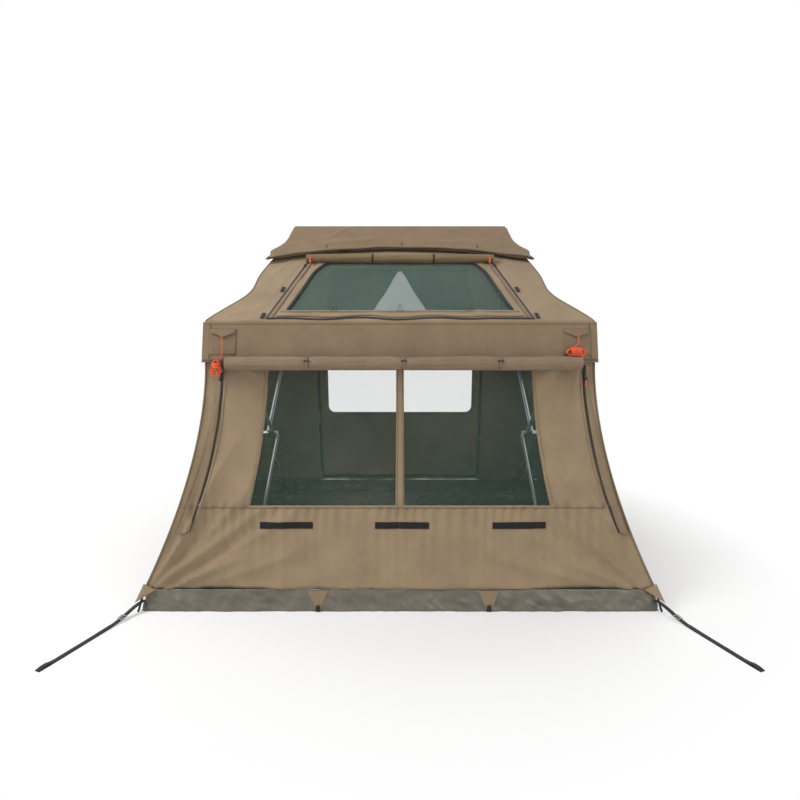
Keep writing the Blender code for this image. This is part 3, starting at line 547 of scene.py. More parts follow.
def woven_canvas(name, base, grit=1.0, rough=0.86):
    """Coated polycotton canvas, plain woven: dull, a little uneven in its dye, with a fine cross grain."""
    made, tree, shader, _, where = new_material(name)
    # Dye clouds are some 15 cm across, and slubs in the yarn some 6 mm long
    cloud = add_node(tree, "ShaderNodeTexNoise", {"Scale": 6.5, "Detail": 6.0, "Roughness": 0.6}, where)
    slub = add_node(tree, "ShaderNodeTexNoise", {"Scale": 160.0, "Detail": 3.0}, where)
    blend = add_node(tree, "ShaderNodeMix", {"data_type": "FLOAT", "Factor": 0.35},
                     [(cloud, 0, 2), (slub, 0, 3)])
    # The weave is drawn at 4 mm instead of 0.6 mm, so that it shows
    threads = [add_node(tree, "ShaderNodeTexWave",
                        {"Scale": 125.0, "Distortion": 0.6, "bands_direction": axis}, where)
               for axis in ("X", "Z")]
    weave = add_node(tree, "ShaderNodeMath", {"operation": "ADD"},
                     [(thread, "Fac", i) for i, thread in enumerate(threads)])
    crease = add_node(tree, "ShaderNodeTexNoise", {"Scale": 22.0, "Detail": 8.0, "Roughness": 0.55}, where)
    fine = add_node(tree, "ShaderNodeBump", {"Strength": 0.10 * grit, "Distance": 0.0008},
                    [(weave, 0, "Height")])
    broad = add_node(tree, "ShaderNodeBump", {"Strength": 0.35, "Distance": 0.004},
                     [(crease, 0, "Height"), (fine, 0, "Normal")])
    worn = add_node(tree, "ShaderNodeMapRange", {"To Min": rough - 0.06, "To Max": rough + 0.06},
                    [(slub, 0, "Value")])
    feed(tree, shader, {"Base Color": shade(tree, blend, 0.80, 1.12, base), "Normal": broad,
                        "Roughness": worn, "Sheen Weight": 0.15, "Specular IOR Level": 0.25})
    return made


def insect_net(name, base, open_share):
    """Fine polyester insect net: dark and matt, and light comes through the openings between its threads."""
    made, tree, shader, out, where = new_material(name)
    cloud = add_node(tree, "ShaderNodeTexNoise", {"Scale": 3.0, "Detail": 4.0}, where)
    feed(tree, shader, {"Base Color": shade(tree, cloud, 0.85, 1.15, base), "Roughness": 0.75,
                        "Specular IOR Level": 0.3})
    # A 1.2 mm mesh is drawn at 5 mm, as a slight change in how much shows through
    mesh = add_node(tree, "ShaderNodeTexWave", {"Scale": 100.0, "bands_direction": "DIAGONAL"}, where)
    share = add_node(tree, "ShaderNodeMapRange", {"To Min": open_share - 0.04, "To Max": open_share + 0.04},
                     [(mesh, "Fac", "Value")])
    clear = add_node(tree, "ShaderNodeBsdfTransparent")
    mix = add_node(tree, "ShaderNodeMixShader", links=[(share, 0, 0), (shader, 0, 1), (clear, 0, 2)])
    tree.links.new(mix.outputs[0], out.inputs["Surface"])
    return made


def coated_sheet(name, base):
    """PVC-coated groundsheet: half gloss, heavily creased from being rolled, mottled partly by dust and partly
    by painted crease shade.
    """
    made, tree, shader, _, where = new_material(name)
    # Random darker and lighter patches: partly dust, partly painted shade and light that stand for the creases'
    # shading
    dust_and_crease_shade = add_node(tree, "ShaderNodeTexNoise", {"Scale": 9.0, "Detail": 8.0, "Roughness": 0.65}, where)
    crease = add_node(tree, "ShaderNodeTexVoronoi",
                      {"Scale": 13.0, "feature": "SMOOTH_F1", "Smoothness": 0.35}, where)
    small = add_node(tree, "ShaderNodeTexNoise", {"Scale": 45.0, "Detail": 6.0}, where)
    first = add_node(tree, "ShaderNodeBump", {"Strength": 0.95, "Distance": 0.017}, [(crease, 0, "Height")])
    second = add_node(tree, "ShaderNodeBump", {"Strength": 0.30, "Distance": 0.002},
                      [(small, 0, "Height"), (first, 0, "Normal")])
    feed(tree, shader, {"Base Color": shade(tree, dust_and_crease_shade, 0.74, 1.16, base), "Normal": second,
                        "Roughness": 0.37})
    return made


def woven_webbing(name, base, pitch=0.006, rough=0.8):
    """Polypropylene webbing and zip tape: near black, with a cross rib from its weave."""
    made, tree, shader, _, where = new_material(name)
    rib = add_node(tree, "ShaderNodeTexWave",
                   {"Scale": 1.0 / pitch / 2, "bands_direction": "DIAGONAL", "Distortion": 0.8}, where)
    bump = add_node(tree, "ShaderNodeBump", {"Strength": 0.5, "Distance": 0.001}, [(rib, "Fac", "Height")])
    feed(tree, shader, {"Base Color": shade(tree, rib, 0.7, 1.8, base), "Normal": bump, "Roughness": rough})
    return made


def braided_rope(name, base):
    """Braided polyester cord: bright dye, diamond braid 3 mm long."""
    made, tree, shader, _, where = new_material(name)
    braid = add_node(tree, "ShaderNodeTexVoronoi", {"Scale": 330.0}, where)
    bump = add_node(tree, "ShaderNodeBump", {"Strength": 0.6, "Distance": 0.0006}, [(braid, 0, "Height")])
    feed(tree, shader, {"Base Color": shade(tree, braid, 1.15, 0.7, base), "Normal": bump, "Roughness": 0.6})
    return made


def worn_metal(name, base, rough, grain):
    """Drawn metal tube or pressed plate: fine marks along it, and duller where hands and cloth rub."""
    made, tree, shader, _, where = new_material(name)
    rub = add_node(tree, "ShaderNodeTexNoise", {"Scale": 14.0, "Detail": 5.0}, where)
    marks = add_node(tree, "ShaderNodeTexNoise", {"Scale": grain, "Detail": 4.0}, where)
    level = add_node(tree, "ShaderNodeMapRange", {"To Min": rough - 0.08, "To Max": rough + 0.12},
                     [(marks, 0, "Value")])
    bump = add_node(tree, "ShaderNodeBump", {"Strength": 0.12, "Distance": 0.0003}, [(marks, 0, "Height")])
    feed(tree, shader, {"Base Color": shade(tree, rub, 0.85, 1.08, base), "Normal": bump, "Roughness": level,
                        "Metallic": 1.0})
    return made


def moulded_nylon(name, base, rough=0.5):
    """Glass-filled nylon, moulded with a light spark-eroded grain of about 0.5 mm."""
    made, tree, shader, _, where = new_material(name)
    grain = add_node(tree, "ShaderNodeTexNoise", {"Scale": 900.0, "Detail": 3.0}, where)
    bump = add_node(tree, "ShaderNodeBump", {"Strength": 0.35, "Distance": 0.0004}, [(grain, 0, "Height")])
    feed(tree, shader, {"Base Color": shade(tree, grain, 0.8, 1.3, base), "Normal": bump, "Roughness": rough})
    return made


FINISHES = {}


class TENT_OT_finishes(bpy.types.Operator):
    """Make the tent's materials"""

    bl_idname = "tent.finishes"
    bl_label = "Finishes"

    def execute(self, context):
        colours = context.scene.tent_colours
        canvas, cover = tuple(colours.canvas), tuple(colours.cover)
        black = colour("#17171a")
        FINISHES.update(
            canvas=woven_canvas("polycotton_canvas", canvas),
            fly=woven_canvas("fly_canvas", tuple(c * k for c, k in zip(cover, (0.88, 0.83, 0.68)))),
            cover=woven_canvas("cover_canvas", cover),
            hem=woven_canvas("hem_canvas", tuple(c * 0.70 for c in canvas), 2.0),
            patch=woven_canvas("patch_canvas", tuple(c * 0.86 for c in canvas), 1.6),
            cover_patch=woven_canvas("cover_patch_canvas", tuple(c * 0.88 for c in cover), 1.6),
            cover_hem=woven_canvas("cover_hem_canvas", tuple(c * 0.62 for c in cover), 2.0),
            net=insect_net("window_insect_net", tuple(colours.net), 0.89),
            roof_net=insect_net("skylight_insect_net", tuple(colours.roof_net), 0.67),
            far_net=insect_net("far_insect_net", tuple(colours.net), 0.96),
            tub=coated_sheet("coated_groundsheet", tuple(colours.tub)),
            webbing=woven_webbing("polypropylene_webbing", black),
            tape=woven_webbing("zip_tape", black, 0.004, 0.7),
            hook=woven_webbing("hook_and_loop_tape", colour("#101012"), 0.003, 0.95),
            rope=braided_rope("braided_polyester_rope", tuple(colours.rope)),
            aluminium=worn_metal("anodised_aluminium", colour("#c3c5c7"), 0.34, 220.0),
            steel=worn_metal("zinc_plated_steel", colour("#a9a9a6"), 0.38, 160.0),
            nylon=moulded_nylon("glass_filled_nylon", colour("#1d1d20")),
        )
        return {"FINISHED"}


def hank_loops(spec, first_y, pitch):
    """The hank's loops, each drawn in unlike the others. The upright hank is narrow at its top."""
    side, (hank_x, hank_z), (half_x, half_z) = spec["side"], spec["hank"], spec["half"]
    points = []
    for i in range(2, ROPE_TURNS * TURN_POINTS + 1):
        angle = math.pi / 2 + 2 * math.pi * i / TURN_POINTS
        across = math.copysign(abs(math.cos(angle)) ** 0.8, math.cos(angle))
        rise = math.copysign(abs(math.sin(angle)) ** 0.8, math.sin(angle))
        turn = i / TURN_POINTS
        if half_z > half_x:
            low_share = (1 - rise) / 2
            across *= 0.46 + (0.54 - 0.42 * (0.5 + 0.5 * math.sin(2.6 * turn))) * low_share
            across += 0.22 * low_share * math.sin(1.7 * turn)
            rise = rise if rise > 0 else rise * (0.80 + 0.20 * math.cos(4.1 * turn))
        else:
            across *= 0.93 + 0.07 * math.cos(3.3 * turn)
        points.append(Vector((side * (hank_x + half_x * across), first_y - pitch * turn,
                              hank_z + half_z * rise)))
    return points


def hank_wraps(spec, first_y, last_y):
    """The turns that hold the hank: level round the upright hank's neck, and side by side on the flat one."""
    side, (hank_x, hank_z), (half_x, half_z) = spec["side"], spec["hank"], spec["half"]
    middle, deep = (first_y + last_y) / 2, (first_y - last_y) / 2 + WRAP_GAP
    points = []
    for i in range(spec["wraps"] * TURN_POINTS + 1):
        turn, angle = i / TURN_POINTS, 2 * math.pi * i / TURN_POINTS
        y = middle - deep * math.cos(angle)
        if half_z > half_x:
            wide = 0.50 * half_x + WRAP_GAP
            points.append(Vector((side * (hank_x - wide * math.sin(angle)), y,
                                  hank_z + half_z * 0.74 - NECK_STEP * turn)))
        else:
            tall = half_z + WRAP_GAP
            x = hank_x - 0.030 + FLAT_STEP * turn
            points.append(Vector((side * x, y, hank_z - tall * math.sin(angle))))
    return points


def rope_path(spec):
    """The whole rope: out of the band, down, round in the hank's loops, and round the hank."""
    side = spec["side"]
    drop_x, drop_z = spec["drop"]
    first_y = -(EAVE_HALF_DEPTH + 0.003 + SEAM_GAP + BAND_FLARE + ROPE_RADIUS + 4 * SEAM_GAP)
    loops_y = first_y - WRAP_GAP
    pitch = (ROPE_PITCH * ROPE_TURNS - 2 * WRAP_GAP) / ROPE_TURNS
    loops = hank_loops(spec, loops_y, pitch)
    wraps = hank_wraps(spec, loops_y, loops_y - pitch * ROPE_TURNS)
    start = Vector((side * drop_x, -(EAVE_HALF_DEPTH + band_out(drop_z) + SEAM_GAP), drop_z))
    top = spec["hank"][1] + spec["half"][1]
    route = [start, start + Vector((0, -0.007, -0.0005)), start + Vector((0, -0.0155, -0.006)),
             Vector((start.x, first_y, drop_z - 0.022)), Vector((start.x, first_y - 0.001, top + 0.020)),
             loops[0] + (loops[0] - loops[2]).normalized() * 0.010 + Vector((0, 0, 0.003)), loops[0]]
    drop = smooth_route(route, 4)
    end = wraps[-1]
    onward = (end - wraps[-3]).normalized()
    tail = [end + onward * 0.008 + Vector((0, -0.001, -0.003)),
            end + onward * 0.011 + Vector((0, -0.001, -0.014)),
            end + onward * 0.010 + Vector((0, 0, -0.030))]
    whole = drop + loops[1:] + wraps[TURN_POINTS // 4:] + smooth_route([end] + tail, 3)[1:]
    joins = (len(drop), len(drop) + len(loops) - 1, len(whole) - 9)
    return eased(whole, joins, 9, 40)


def eased(points, joins, reach, passes):
    """Rounds the route off where one run of it turns into the next, so that the rope has no kink."""
    points = [Vector(point) for point in points]
    for _ in range(passes):
        before = [point.copy() for point in points]
        for join in joins:
            for i in range(max(1, join - reach), min(len(points) - 1, join + reach)):
                share = 1 - abs(i - join) / (reach + 1)
                points[i] = before[i].lerp((before[i - 1] + before[i + 1]) / 2, 0.9 * share)
    return points


def smooth_route(points, parts):
    """Points on a smooth curve through the route's own points."""
    ends = [Vector(points[0]) * 2 - Vector(points[1])] + [Vector(p) for p in points]
    ends.append(Vector(points[-1]) * 2 - Vector(points[-2]))
    route = []
    for i in range(1, len(ends) - 2):
        a, b, c, d = ends[i - 1:i + 3]
        for k in range(parts):
            t = k / parts
            route.append(0.5 * (2 * b + (c - a) * t + (2 * a - 5 * b + 4 * c - d) * t * t
                                + (3 * b - a - 3 * c + d) * t ** 3))
    route.append(ends[-2])
    return route


def length_of(points):
    return sum((b - a).length for a, b in zip(points, points[1:]))


def round_curve(name, points, radius, resolution):
    """A round curve along points, with filled ends."""
    curve = bpy.data.curves.new(name, "CURVE")
    curve.dimensions = "3D"
    curve.bevel_depth = radius
    curve.bevel_resolution = resolution
    curve.use_fill_caps = True
    spline = curve.splines.new("POLY")
    spline.points.add(len(points) - 1)
    for point, co in zip(spline.points, points):
        point.co = (*co, 1.0)
    obj = bpy.data.objects.new(name, curve)
    bpy.context.scene.collection.objects.link(obj)
    return obj


def tube(name, points, radius, finish, nodes, resolution):
    """A cord on the roof."""
    obj = round_curve(name, points, radius, resolution)
    obj.data.materials.append(FINISHES[finish])
    return settle(obj, finish, "roof", nodes)


def beside(route, v):
    """A place on a route, where v runs from -1 to 1: its index, its point and the level way across there."""
    last = len(route) - 1
    i = round((v + 1) / 2 * last)
    before, after = route[max(i - 1, 0)], route[min(i + 1, last)]
    return i, route[i], (after - before).cross(UP).normalized()


class TENT_OT_cords(bpy.types.Operator):
    """Make the guy ropes and the ground straps"""

    bl_idname = "tent.cords"
    bl_label = "Ropes and straps"

    def execute(self, context):
        for side_name, spec in ROPES.items():
            route = rope_path(spec)
            rope = tube(f"{side_name}_guy_rope", route, ROPE_RADIUS, "rope",
                        [f"{side_name}_guy_drop", f"{side_name}_guy_hank"], 3)
            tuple(route[0])
            length_of(route)
            self.strap(side_name, spec["side"])
            self.ear(side_name, spec["side"])
        return {"FINISHED"}

    def strap(self, side_name, side):
        route = smooth_route([Vector((side * x, y, z)) for x, y, z in STRAP_ROUTE], 4)

        def place(across, v):
            _, point, sideways = beside(route, v)
            swell = Vector((0, 0, 0.0003 * (1 - across * across)))
            return point + sideways * across * STRAP_WIDTH / 2 + swell

        obj = piece(f"{side_name}_strap", grid(4, len(route) - 1, place), "webbing", "base",
                    [f"{side_name}_ground_strap"], STRAP_THICKNESS)
        extras = [self.fold(side_name, route), self.buckle(side_name, route)]
        length_of(route)

    def fold(self, side_name, route):
        """The strap's doubled end: the webbing turned back on itself and sewn, with a loop at its end."""
        back = route[len(route) // 2:]
        rows = len(back) - 1

        def place(across, v):
            i, point, sideways = beside(back, v)
            opening = 0.007 * math.sin(math.pi * clamp((i / rows - 0.80) / 0.20))
            rise = 0.0022 + opening + 0.0012 * ripple(i * 0.3, 0, 0, 3.0)
            return point + sideways * across * STRAP_WIDTH * 0.47 + Vector((0, 0, rise))

        return piece(f"{side_name}_strap_fold", grid(4, rows, place), "webbing", "base", (), STRAP_THICKNESS)

    def buckle(self, side_name, route):
        """A ladder buckle where the strap meets the ground: a frame with a bar across its middle."""
        i = len(route) * 3 // 8
        along = (route[i + 1] - route[i]).normalized()
        sideways = along.cross(UP).normalized()
        up = sideways.cross(along).normalized()
        bm = bmesh.new()
        for shift, radius in ((-0.013, 0.0022), (0.0, 0.0016), (0.013, 0.0022)):
            self.rod(bm, route[i] + along * shift, sideways, up, along, 0.019, radius)
        for side in (-1, 1):
            self.rod(bm, route[i] + sideways * side * 0.017, along, up, sideways, 0.015, 0.0022)
        return piece(f"{side_name}_strap_buckle", bm, "steel", "base", facing=False)

    def rod(self, bm, centre, along, up, across, half_length, radius):
        made = bmesh.ops.create_cone(bm, cap_ends=True, segments=10, radius1=radius, radius2=radius,
                                     depth=2 * half_length)["verts"]
        for vert in made:
            x, y, z = vert.co
            vert.co = centre + along * z + across * x + up * (y + 0.0034)

    def ear(self, side_name, side):
        """The wall's bottom corner, drawn out to a point over the strap's end, with its loop."""
        top = Vector((side * 1.2790, -1.0350, 0.140))
        foot = Vector((side * 1.2200, -1.0370, 0.109))
        tip = Vector((side * 1.3140, -1.0700, 0.056))

        def place(u, v):
            down, across = (v + 1) / 2, (u + 1) / 2
            bulge = 0.010 * math.sin(math.pi * across) * math.sin(math.pi * down)
            point = top.lerp(foot, across).lerp(tip, down)
            return point + Vector((side * 0.3, -1.0, 0.1)) * (0.0030 + 0.5 * bulge)

        bm = grid(12, 12, place)
        bmesh.ops.remove_doubles(bm, verts=bm.verts, dist=WELD)
        piece(f"{side_name}_corner_ear", bm, "canvas", "base", (), CLOTH)
        points = smooth_route([(side * 1.283, -1.045, 0.088), (side * 1.292, -1.060, 0.050),
                               (side * 1.297, -1.068, 0.024), (side * 1.300, -1.078, 0.012)], 4)
        rows = len(points) - 1
        across = Vector((side * 0.8, 0.6, 0))
        bm = grid(3, rows, lambda u, v: points[round((v + 1) / 2 * rows)] + across * u * 0.008)
        piece(f"{side_name}_corner_loop", bm, "webbing", "base", (), STRAP_THICKNESS)


def with_edges(low, high, cells, *edges):
    """Evenly spread values with the nearest ones moved onto these edges, so that a cut falls on them."""
    values = spread(low, high, cells)
    for edge in edges:
        near = min(range(len(values)), key=lambda i: abs(values[i] - edge))
        values[near] = edge
    return values


class TENT_OT_walls(bpy.types.Operator):
    """Make the front, back and side walls, with their nets"""

    bl_idname = "tent.walls"
    bl_label = "Walls and windows"

    def execute(self, context):
        us = with_edges(-1, 1, 220, -WINDOW_SHARE, -STRIP_SHARE, STRIP_SHARE, WINDOW_SHARE)
        rows = with_edges(WALL_FOOT, WALL_TOP, 84, WINDOW_SILL, WINDOW_HEAD)
        bm = cloth(front_wall_at, us, rows, 0.0, creased,
                   lambda u, z: STRIP_SHARE < abs(u) < WINDOW_SHARE and WINDOW_SILL < z < WINDOW_HEAD)
        self.wall("front_wall_cloth", bm, "front_wall", 2 * half_width(WALL_FOOT), "front_eave_bar")
        for name, side in SIDES:
            net_pane(f"{name}_front_net", front_wall_at,
                     sorted((side * STRIP_SHARE * 0.5, side * (WINDOW_SHARE + NET_LAP))),
                     (WINDOW_SILL, WINDOW_HEAD), (12, 12), "net", "base",
                     ["front_window_net"] if side < 0 else (), WALL_SQUASH)
            self.side(name, side)
        self.back()
        return {"FINISHED"}

    def wall(self, name, bm, node, width, bar):
        wall = piece(name, bm, "canvas", "base", [node], CLOTH, WALL_SQUASH)

    def side(self, name, side):
        surface = side_wall_at(side)
        bm = cloth(surface, with_edges(-1, 1, 120, -SIDE_WINDOW_SHARE, SIDE_WINDOW_SHARE),
                   with_edges(WALL_FOOT, WALL_TOP, 64, SIDE_WINDOW_SILL, WINDOW_HEAD), 0.0, creased,
                   lambda v, z: abs(v) < SIDE_WINDOW_SHARE and SIDE_WINDOW_SILL < z < WINDOW_HEAD)
        self.wall(f"{name}_wall_cloth", bm, f"{name}_side_wall", 2 * half_depth(WALL_FOOT),
                  f"{name}_eave_bar")
        edge = SIDE_WINDOW_SHARE + NET_LAP
        net_pane(f"{name}_side_net", surface, (-edge, edge), (SIDE_WINDOW_SILL, WINDOW_HEAD), (10, 8),
                 "far_net", "base", [f"{name}_window_net"], WALL_SQUASH)

    def back(self):
        inner, foot = 0.65, 0.14
        xs = with_edges(-EAVE_HALF_WIDTH, EAVE_HALF_WIDTH, 120, -STRAIGHT_HALF_WIDTH, -inner, inner,
                        STRAIGHT_HALF_WIDTH)
        bm = cloth(back_wall_at, xs, with_edges(WALL_FOOT, WALL_TOP, 60, foot, WINDOW_HEAD), 0.0,
                   lambda p, x, z: wall_wave(p, calm(x / EAVE_HALF_WIDTH)),
                   lambda x, z: abs(x) < inner and foot < z < WINDOW_HEAD)
        self.wall("back_wall_cloth", bm, "back_wall", 2 * half_width(WALL_FOOT), "back_eave_bar")
        edge = inner - 0.004
        pane = DOOR_WINDOW_HALF_WIDTH

        def door_wave(p, x, z):
            return wall_wave(p, calm(x / edge))

        bm = cloth(back_wall_at, with_edges(-edge, edge, 90, -pane, pane),
                   with_edges(0.144, WINDOW_HEAD - 0.0005, 60, DOOR_WINDOW_SILL, DOOR_WINDOW_HEAD), 0.0,
                   door_wave, lambda x, z: abs(x) < pane and DOOR_WINDOW_SILL < z < DOOR_WINDOW_HEAD)
        door = piece("back_door_cloth", bm, "canvas", "door", ["back_door"], CLOTH, DOOR_SQUASH)
        foot, head, rim = 0.142, WINDOW_HEAD - 0.001, inner - 0.002
        for name, a, b in (("left", (-rim, foot), (-rim, head)), ("right", (rim, foot), (rim, head)),
                           ("foot", (-inner, foot), (inner, foot))):
            for face, finish, lift in (("outer", "patch", 0.0030), ("inner", "tape", -CLOTH - 0.0035)):
                ribbon(f"door_{name}_{face}_tape", back_wall_at, between(a, b), 0.010, finish, "door", lift,
                       door_wave, DOOR_SQUASH)
        for i, (side, up) in enumerate(((-1, -1), (-1, 1), (1, -1), (1, 1))):
            self.window_corner(i, side, up)
        net_pane("back_door_fine_net", back_wall_at, (-pane - NET_LAP, pane + NET_LAP),
                 (DOOR_WINDOW_SILL, DOOR_WINDOW_HEAD), (10, 6), "far_net", "door", ["back_door_net"],
                 DOOR_SQUASH)

    def window_corner(self, index, side, up):
        """A round corner of the door's window, set into its square opening."""
        radius = 0.050
        x = side * (DOOR_WINDOW_HALF_WIDTH - radius)
        z = DOOR_WINDOW_HEAD - radius if up > 0 else DOOR_WINDOW_SILL + radius

        def place(t, r):
            angle = t * math.pi / 2
            arc = (radius * math.cos(angle), radius * math.sin(angle))
            square = (radius, radius * 2 * t) if t < 0.5 else (radius * 2 * (1 - t), radius)
            out = [arc[k] + (1.06 * square[k] - arc[k]) * r for k in (0, 1)]
            return back_wall_at(x + side * out[0], z + up * out[1])

        bm = cloth(place, spread(0, 1, 16), spread(0.0, 1.0, 4), 0.0004)
        piece(f"door_window_corner_{index}", bm, "canvas", "door", (), CLOTH, DOOR_SQUASH)


def roof_wave(point, edge):
    """The roof cloth is taut on its frame: shallow creases down the slope, and folds that fan from the eave's
    corners. They fade out along the skylight's two zips, where the sliders run."""
    x, y, z = point
    up = (z - EAVE_HEIGHT) / (RIDGE_HEIGHT - EAVE_HEIGHT)
    wave = 0.35 * ripple(x * 5.0, y * 1.6, 0.0, 5.0) + 0.25 * ripple(x * 11.0, y * 3.0, z * 2.0, 6.0)
    wave += 1.1 * fan(EAVE_HALF_WIDTH - abs(x), z - EAVE_HEIGHT, 21.0, 0.16, 0.13, 9.0 + (x > 0))
    wave += 0.7 * (ridged(x * 4.0 + y * 2.0, y * 1.3, z, 2.0) - 0.5)
    wave += 0.9 * fan(abs(x) - 0.52, 1.88 - z, 17.0, 0.24, 0.15, 4.0 + (x > 0))
    track = abs(abs(x) - zip_x(up))
    keep = min(1.0, max(0.0, track - 0.012) / 0.03) if y < 0 and up < ZIP_TOP + 0.04 else 1.0
    # The rafters and bars lie right under the cloth, so it creases outwards and hardly dips
    return bpy.context.scene.tent_sizes.wrinkle * 0.50 * max(-0.09, wave + 0.15) * edge * keep


class TENT_OT_roof(bpy.types.Operator):
    """Make the roof, the skylights, the fly and the eave band"""

    bl_idname = "tent.roof"
    bl_label = "Roof and fly"

    def execute(self, context):
        steps = with_edges(0, 1, 48, SKYLIGHT_LOW, SKYLIGHT_HIGH)
        us = with_edges(-1, 1, 120, -SKYLIGHT_SHARE, SKYLIGHT_SHARE)

        def wave(p, u, s):
            return roof_wave(p, calm(u) * calm(2 * s - 1))

        parts = []
        for _, end in ENDS:
            parts.append(cloth(slope_at(end), us, steps, 0.0, wave,
                               lambda u, s: abs(u) < SKYLIGHT_SHARE and SKYLIGHT_LOW < s < SKYLIGHT_HIGH))
            parts.append(cloth(hip_end_at(end), spread(-1, 1, 60), steps, 0.0, wave))
        roof = piece("roof_cloth", merged(*parts), "canvas", "roof", ["roof_canopy"], CLOTH)
        edge = SKYLIGHT_SHARE + NET_LAP
        for name, end in ENDS:
            net_pane(f"{name}_skylight_cloth", slope_at(end), (-edge, edge), (SKYLIGHT_LOW, SKYLIGHT_HIGH),
                     (12, 8), "roof_net", "roof", [f"{name}_skylight_net"])
        self.back_cover()
        self.fly()
        parts = [cloth(band_at(face), spread(-1, 1, 150), spread(BAND_HEM, EAVE_HEIGHT, 14), 0.0, band_wave)
                 for face in ("front", "left", "back", "right")]
        band = piece("eave_band_cloth", merged(*parts), "cover", "roof", ["eave_band"], CLOTH)
        return {"FINISHED"}

    def back_cover(self):
        """The back skylight's cover: two leaves, zipped at the top and folded aside from a gap below."""
        surface = slope_by_x(1)

        def swell(p, across, up):
            puff = 0.0025 * (1 + ripple(p.x * 6, p.y * 5, 0, 3.0)) * calm(2 * across - 1)
            return 0.010 * bell(across, 0.04, 0.035) + puff

        for name, side in SIDES:
            def leaf(across, up, k=side):
                s = SKYLIGHT_LOW - 0.03 + (SKYLIGHT_HIGH - SKYLIGHT_LOW + 0.05) * up
                open_share = max(0.0, 1 - (s - SKYLIGHT_LOW) / (SKYLIGHT_HIGH - SKYLIGHT_LOW))
                inner = 0.205 * open_share ** 0.92 + 0.004 * math.sin(9 * up)
                outer = (SKYLIGHT_SHARE + 0.03) * frame_hip_x(s)
                return surface(k * (inner + (outer - inner) * across), s)

            bm = cloth(leaf, spread(0, 1, 60), spread(0, 1, 40), 0.0045, swell)
            cover = piece(f"back_{name}_skylight_leaf", bm, "cover", "roof", (), CLOTH)

    def fly(self):
        ups = spread(0, 1, 20)

        def wave(p, a, up):
            droop = 0.002 * (1 - up) * (1 + ripple(p.x * 9, p.y * 9, 0, 7.0))
            return roof_wave(p, calm(a) * min(1.0, (1 - up) / 0.1)) + droop * calm(a)

        parts = []
        for k in (-1, 1):
            parts.append(cloth(fly_slope_at(k), spread(-1, 1, 96), ups, 0.0, wave))
            parts.append(cloth(fly_end_at(k), spread(-1, 1, 48), ups, 0.0, wave))
        fly = piece("fly_cloth", merged(*parts), "fly", "roof", ["roof_fly"], CLOTH)


def rounded(t, half_x, half_y, corner):
    """A point round a rectangle with round corners, as t runs from 0 to 1 from the middle of the front."""
    straight = [half_x - corner, half_y - corner]
    arc = math.pi / 2 * corner
    runs = [("x", -1, straight[0]), ("c", 0, arc), ("y", 1, 2 * straight[1]), ("c", 1, arc),
            ("x", 1, 2 * straight[0]), ("c", 2, arc), ("y", -1, 2 * straight[1]), ("c", 3, arc),
            ("x", -1, straight[0])]
    left = (t % 1.0) * sum(run[2] for run in runs)
    for index, (kind, which, size) in enumerate(runs):
        if left <= size or index == len(runs) - 1:
            break
        left -= size
    if kind == "c":
        angle = -math.pi / 2 + which * math.pi / 2 + left / corner
        cx = straight[0] * (1 if which in (0, 1) else -1)
        cy = straight[1] * (-1 if which in (0, 3) else 1)
        return Vector((cx + corner * math.cos(angle), cy + corner * math.sin(angle), 0))
    if kind == "y":
        along = -straight[1] + left
        return Vector((half_x, along, 0)) if which > 0 else Vector((-half_x, -along, 0))
    if which > 0:
        return Vector((straight[0] - left, half_y, 0))
    return Vector((left if index == 0 else left - straight[0], -half_y, 0))


class TENT_OT_tub(bpy.types.Operator):
    """Make the coated floor tub and the tabs that peg it down"""

    bl_idname = "tent.tub"
    bl_label = "Floor tub"

    def execute(self, context):
        def wall(t, z):
            lean = TUB_LEAN * z / TUB_HEIGHT
            return rounded(t, FLOOR_HALF_WIDTH - lean, FLOOR_HALF_DEPTH - lean, TUB_CORNER) + UP * z

        def wave(p, t, z):
            free = math.sin(math.pi * min(1.0, 0.15 + 0.85 * z / TUB_HEIGHT))
            large = ridged(p.x * 6, p.y * 6, z * 8, 9.0) - 0.5
            small = ridged(p.x * 15 + z * 12, p.y * 15 - z * 9, z * 16, 1.0) - 0.5
            return 0.010 * free * (large + 0.85 * small + 0.5 * ripple(p.x * 4, p.y * 4, 0.0, 4.0))

        def floor(u, v):
            x, y = u * (FLOOR_HALF_WIDTH - FLOOR_INSET), v * (FLOOR_HALF_DEPTH - FLOOR_INSET)
            return Vector((x, y, 0.002 + 0.003 * max(0.0, ripple(x * 4, y * 4, 0, 2.5)) * calm(u) * calm(v)))

        sides = cloth(wall, spread(0, 1, 960), spread(0, TUB_HEIGHT, 16), 0.0, wave)
        bmesh.ops.remove_doubles(sides, verts=sides.verts, dist=WELD)
        tub = piece("tub_wall_cloth", sides, "tub", "base", ["floor_tub"], 0.002)
        base = piece("tub_floor_cloth", grid(80, 80, floor), "tub", "base", (), 0.0015)
        for name, x in (("left", -0.41), ("right", 0.445)):
            self.tab(name, x)
        return {"FINISHED"}

    def tab(self, name, x):
        low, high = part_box(f"{name}_peg_tab")

        def place(u, z):
            share = (z - low.z) / (high.z - low.z)
            half = 0.014 + 0.041 * share
            return Vector((x + u * half, -(FLOOR_HALF_DEPTH - TUB_LEAN * z / TUB_HEIGHT + 0.004), z))

        bm = cloth(place, spread(-1, 1, 8), spread(low.z, high.z, 8), 0.0,
                   lambda p, u, z: 0.003 * (1 - u * u))
        piece(f"{name}_tab_cloth", bm, "patch", "base", [f"{name}_peg_tab"], CLOTH)
        bm = cloth(lambda u, z: Vector((x + u * 0.011, -(FLOOR_HALF_DEPTH + 0.006), z)), spread(-1, 1, 4),
                   spread(0.0015, 0.034, 6), 0.001)
        piece(f"{name}_tab_loop", bm, "webbing", "base", (), 0.002)


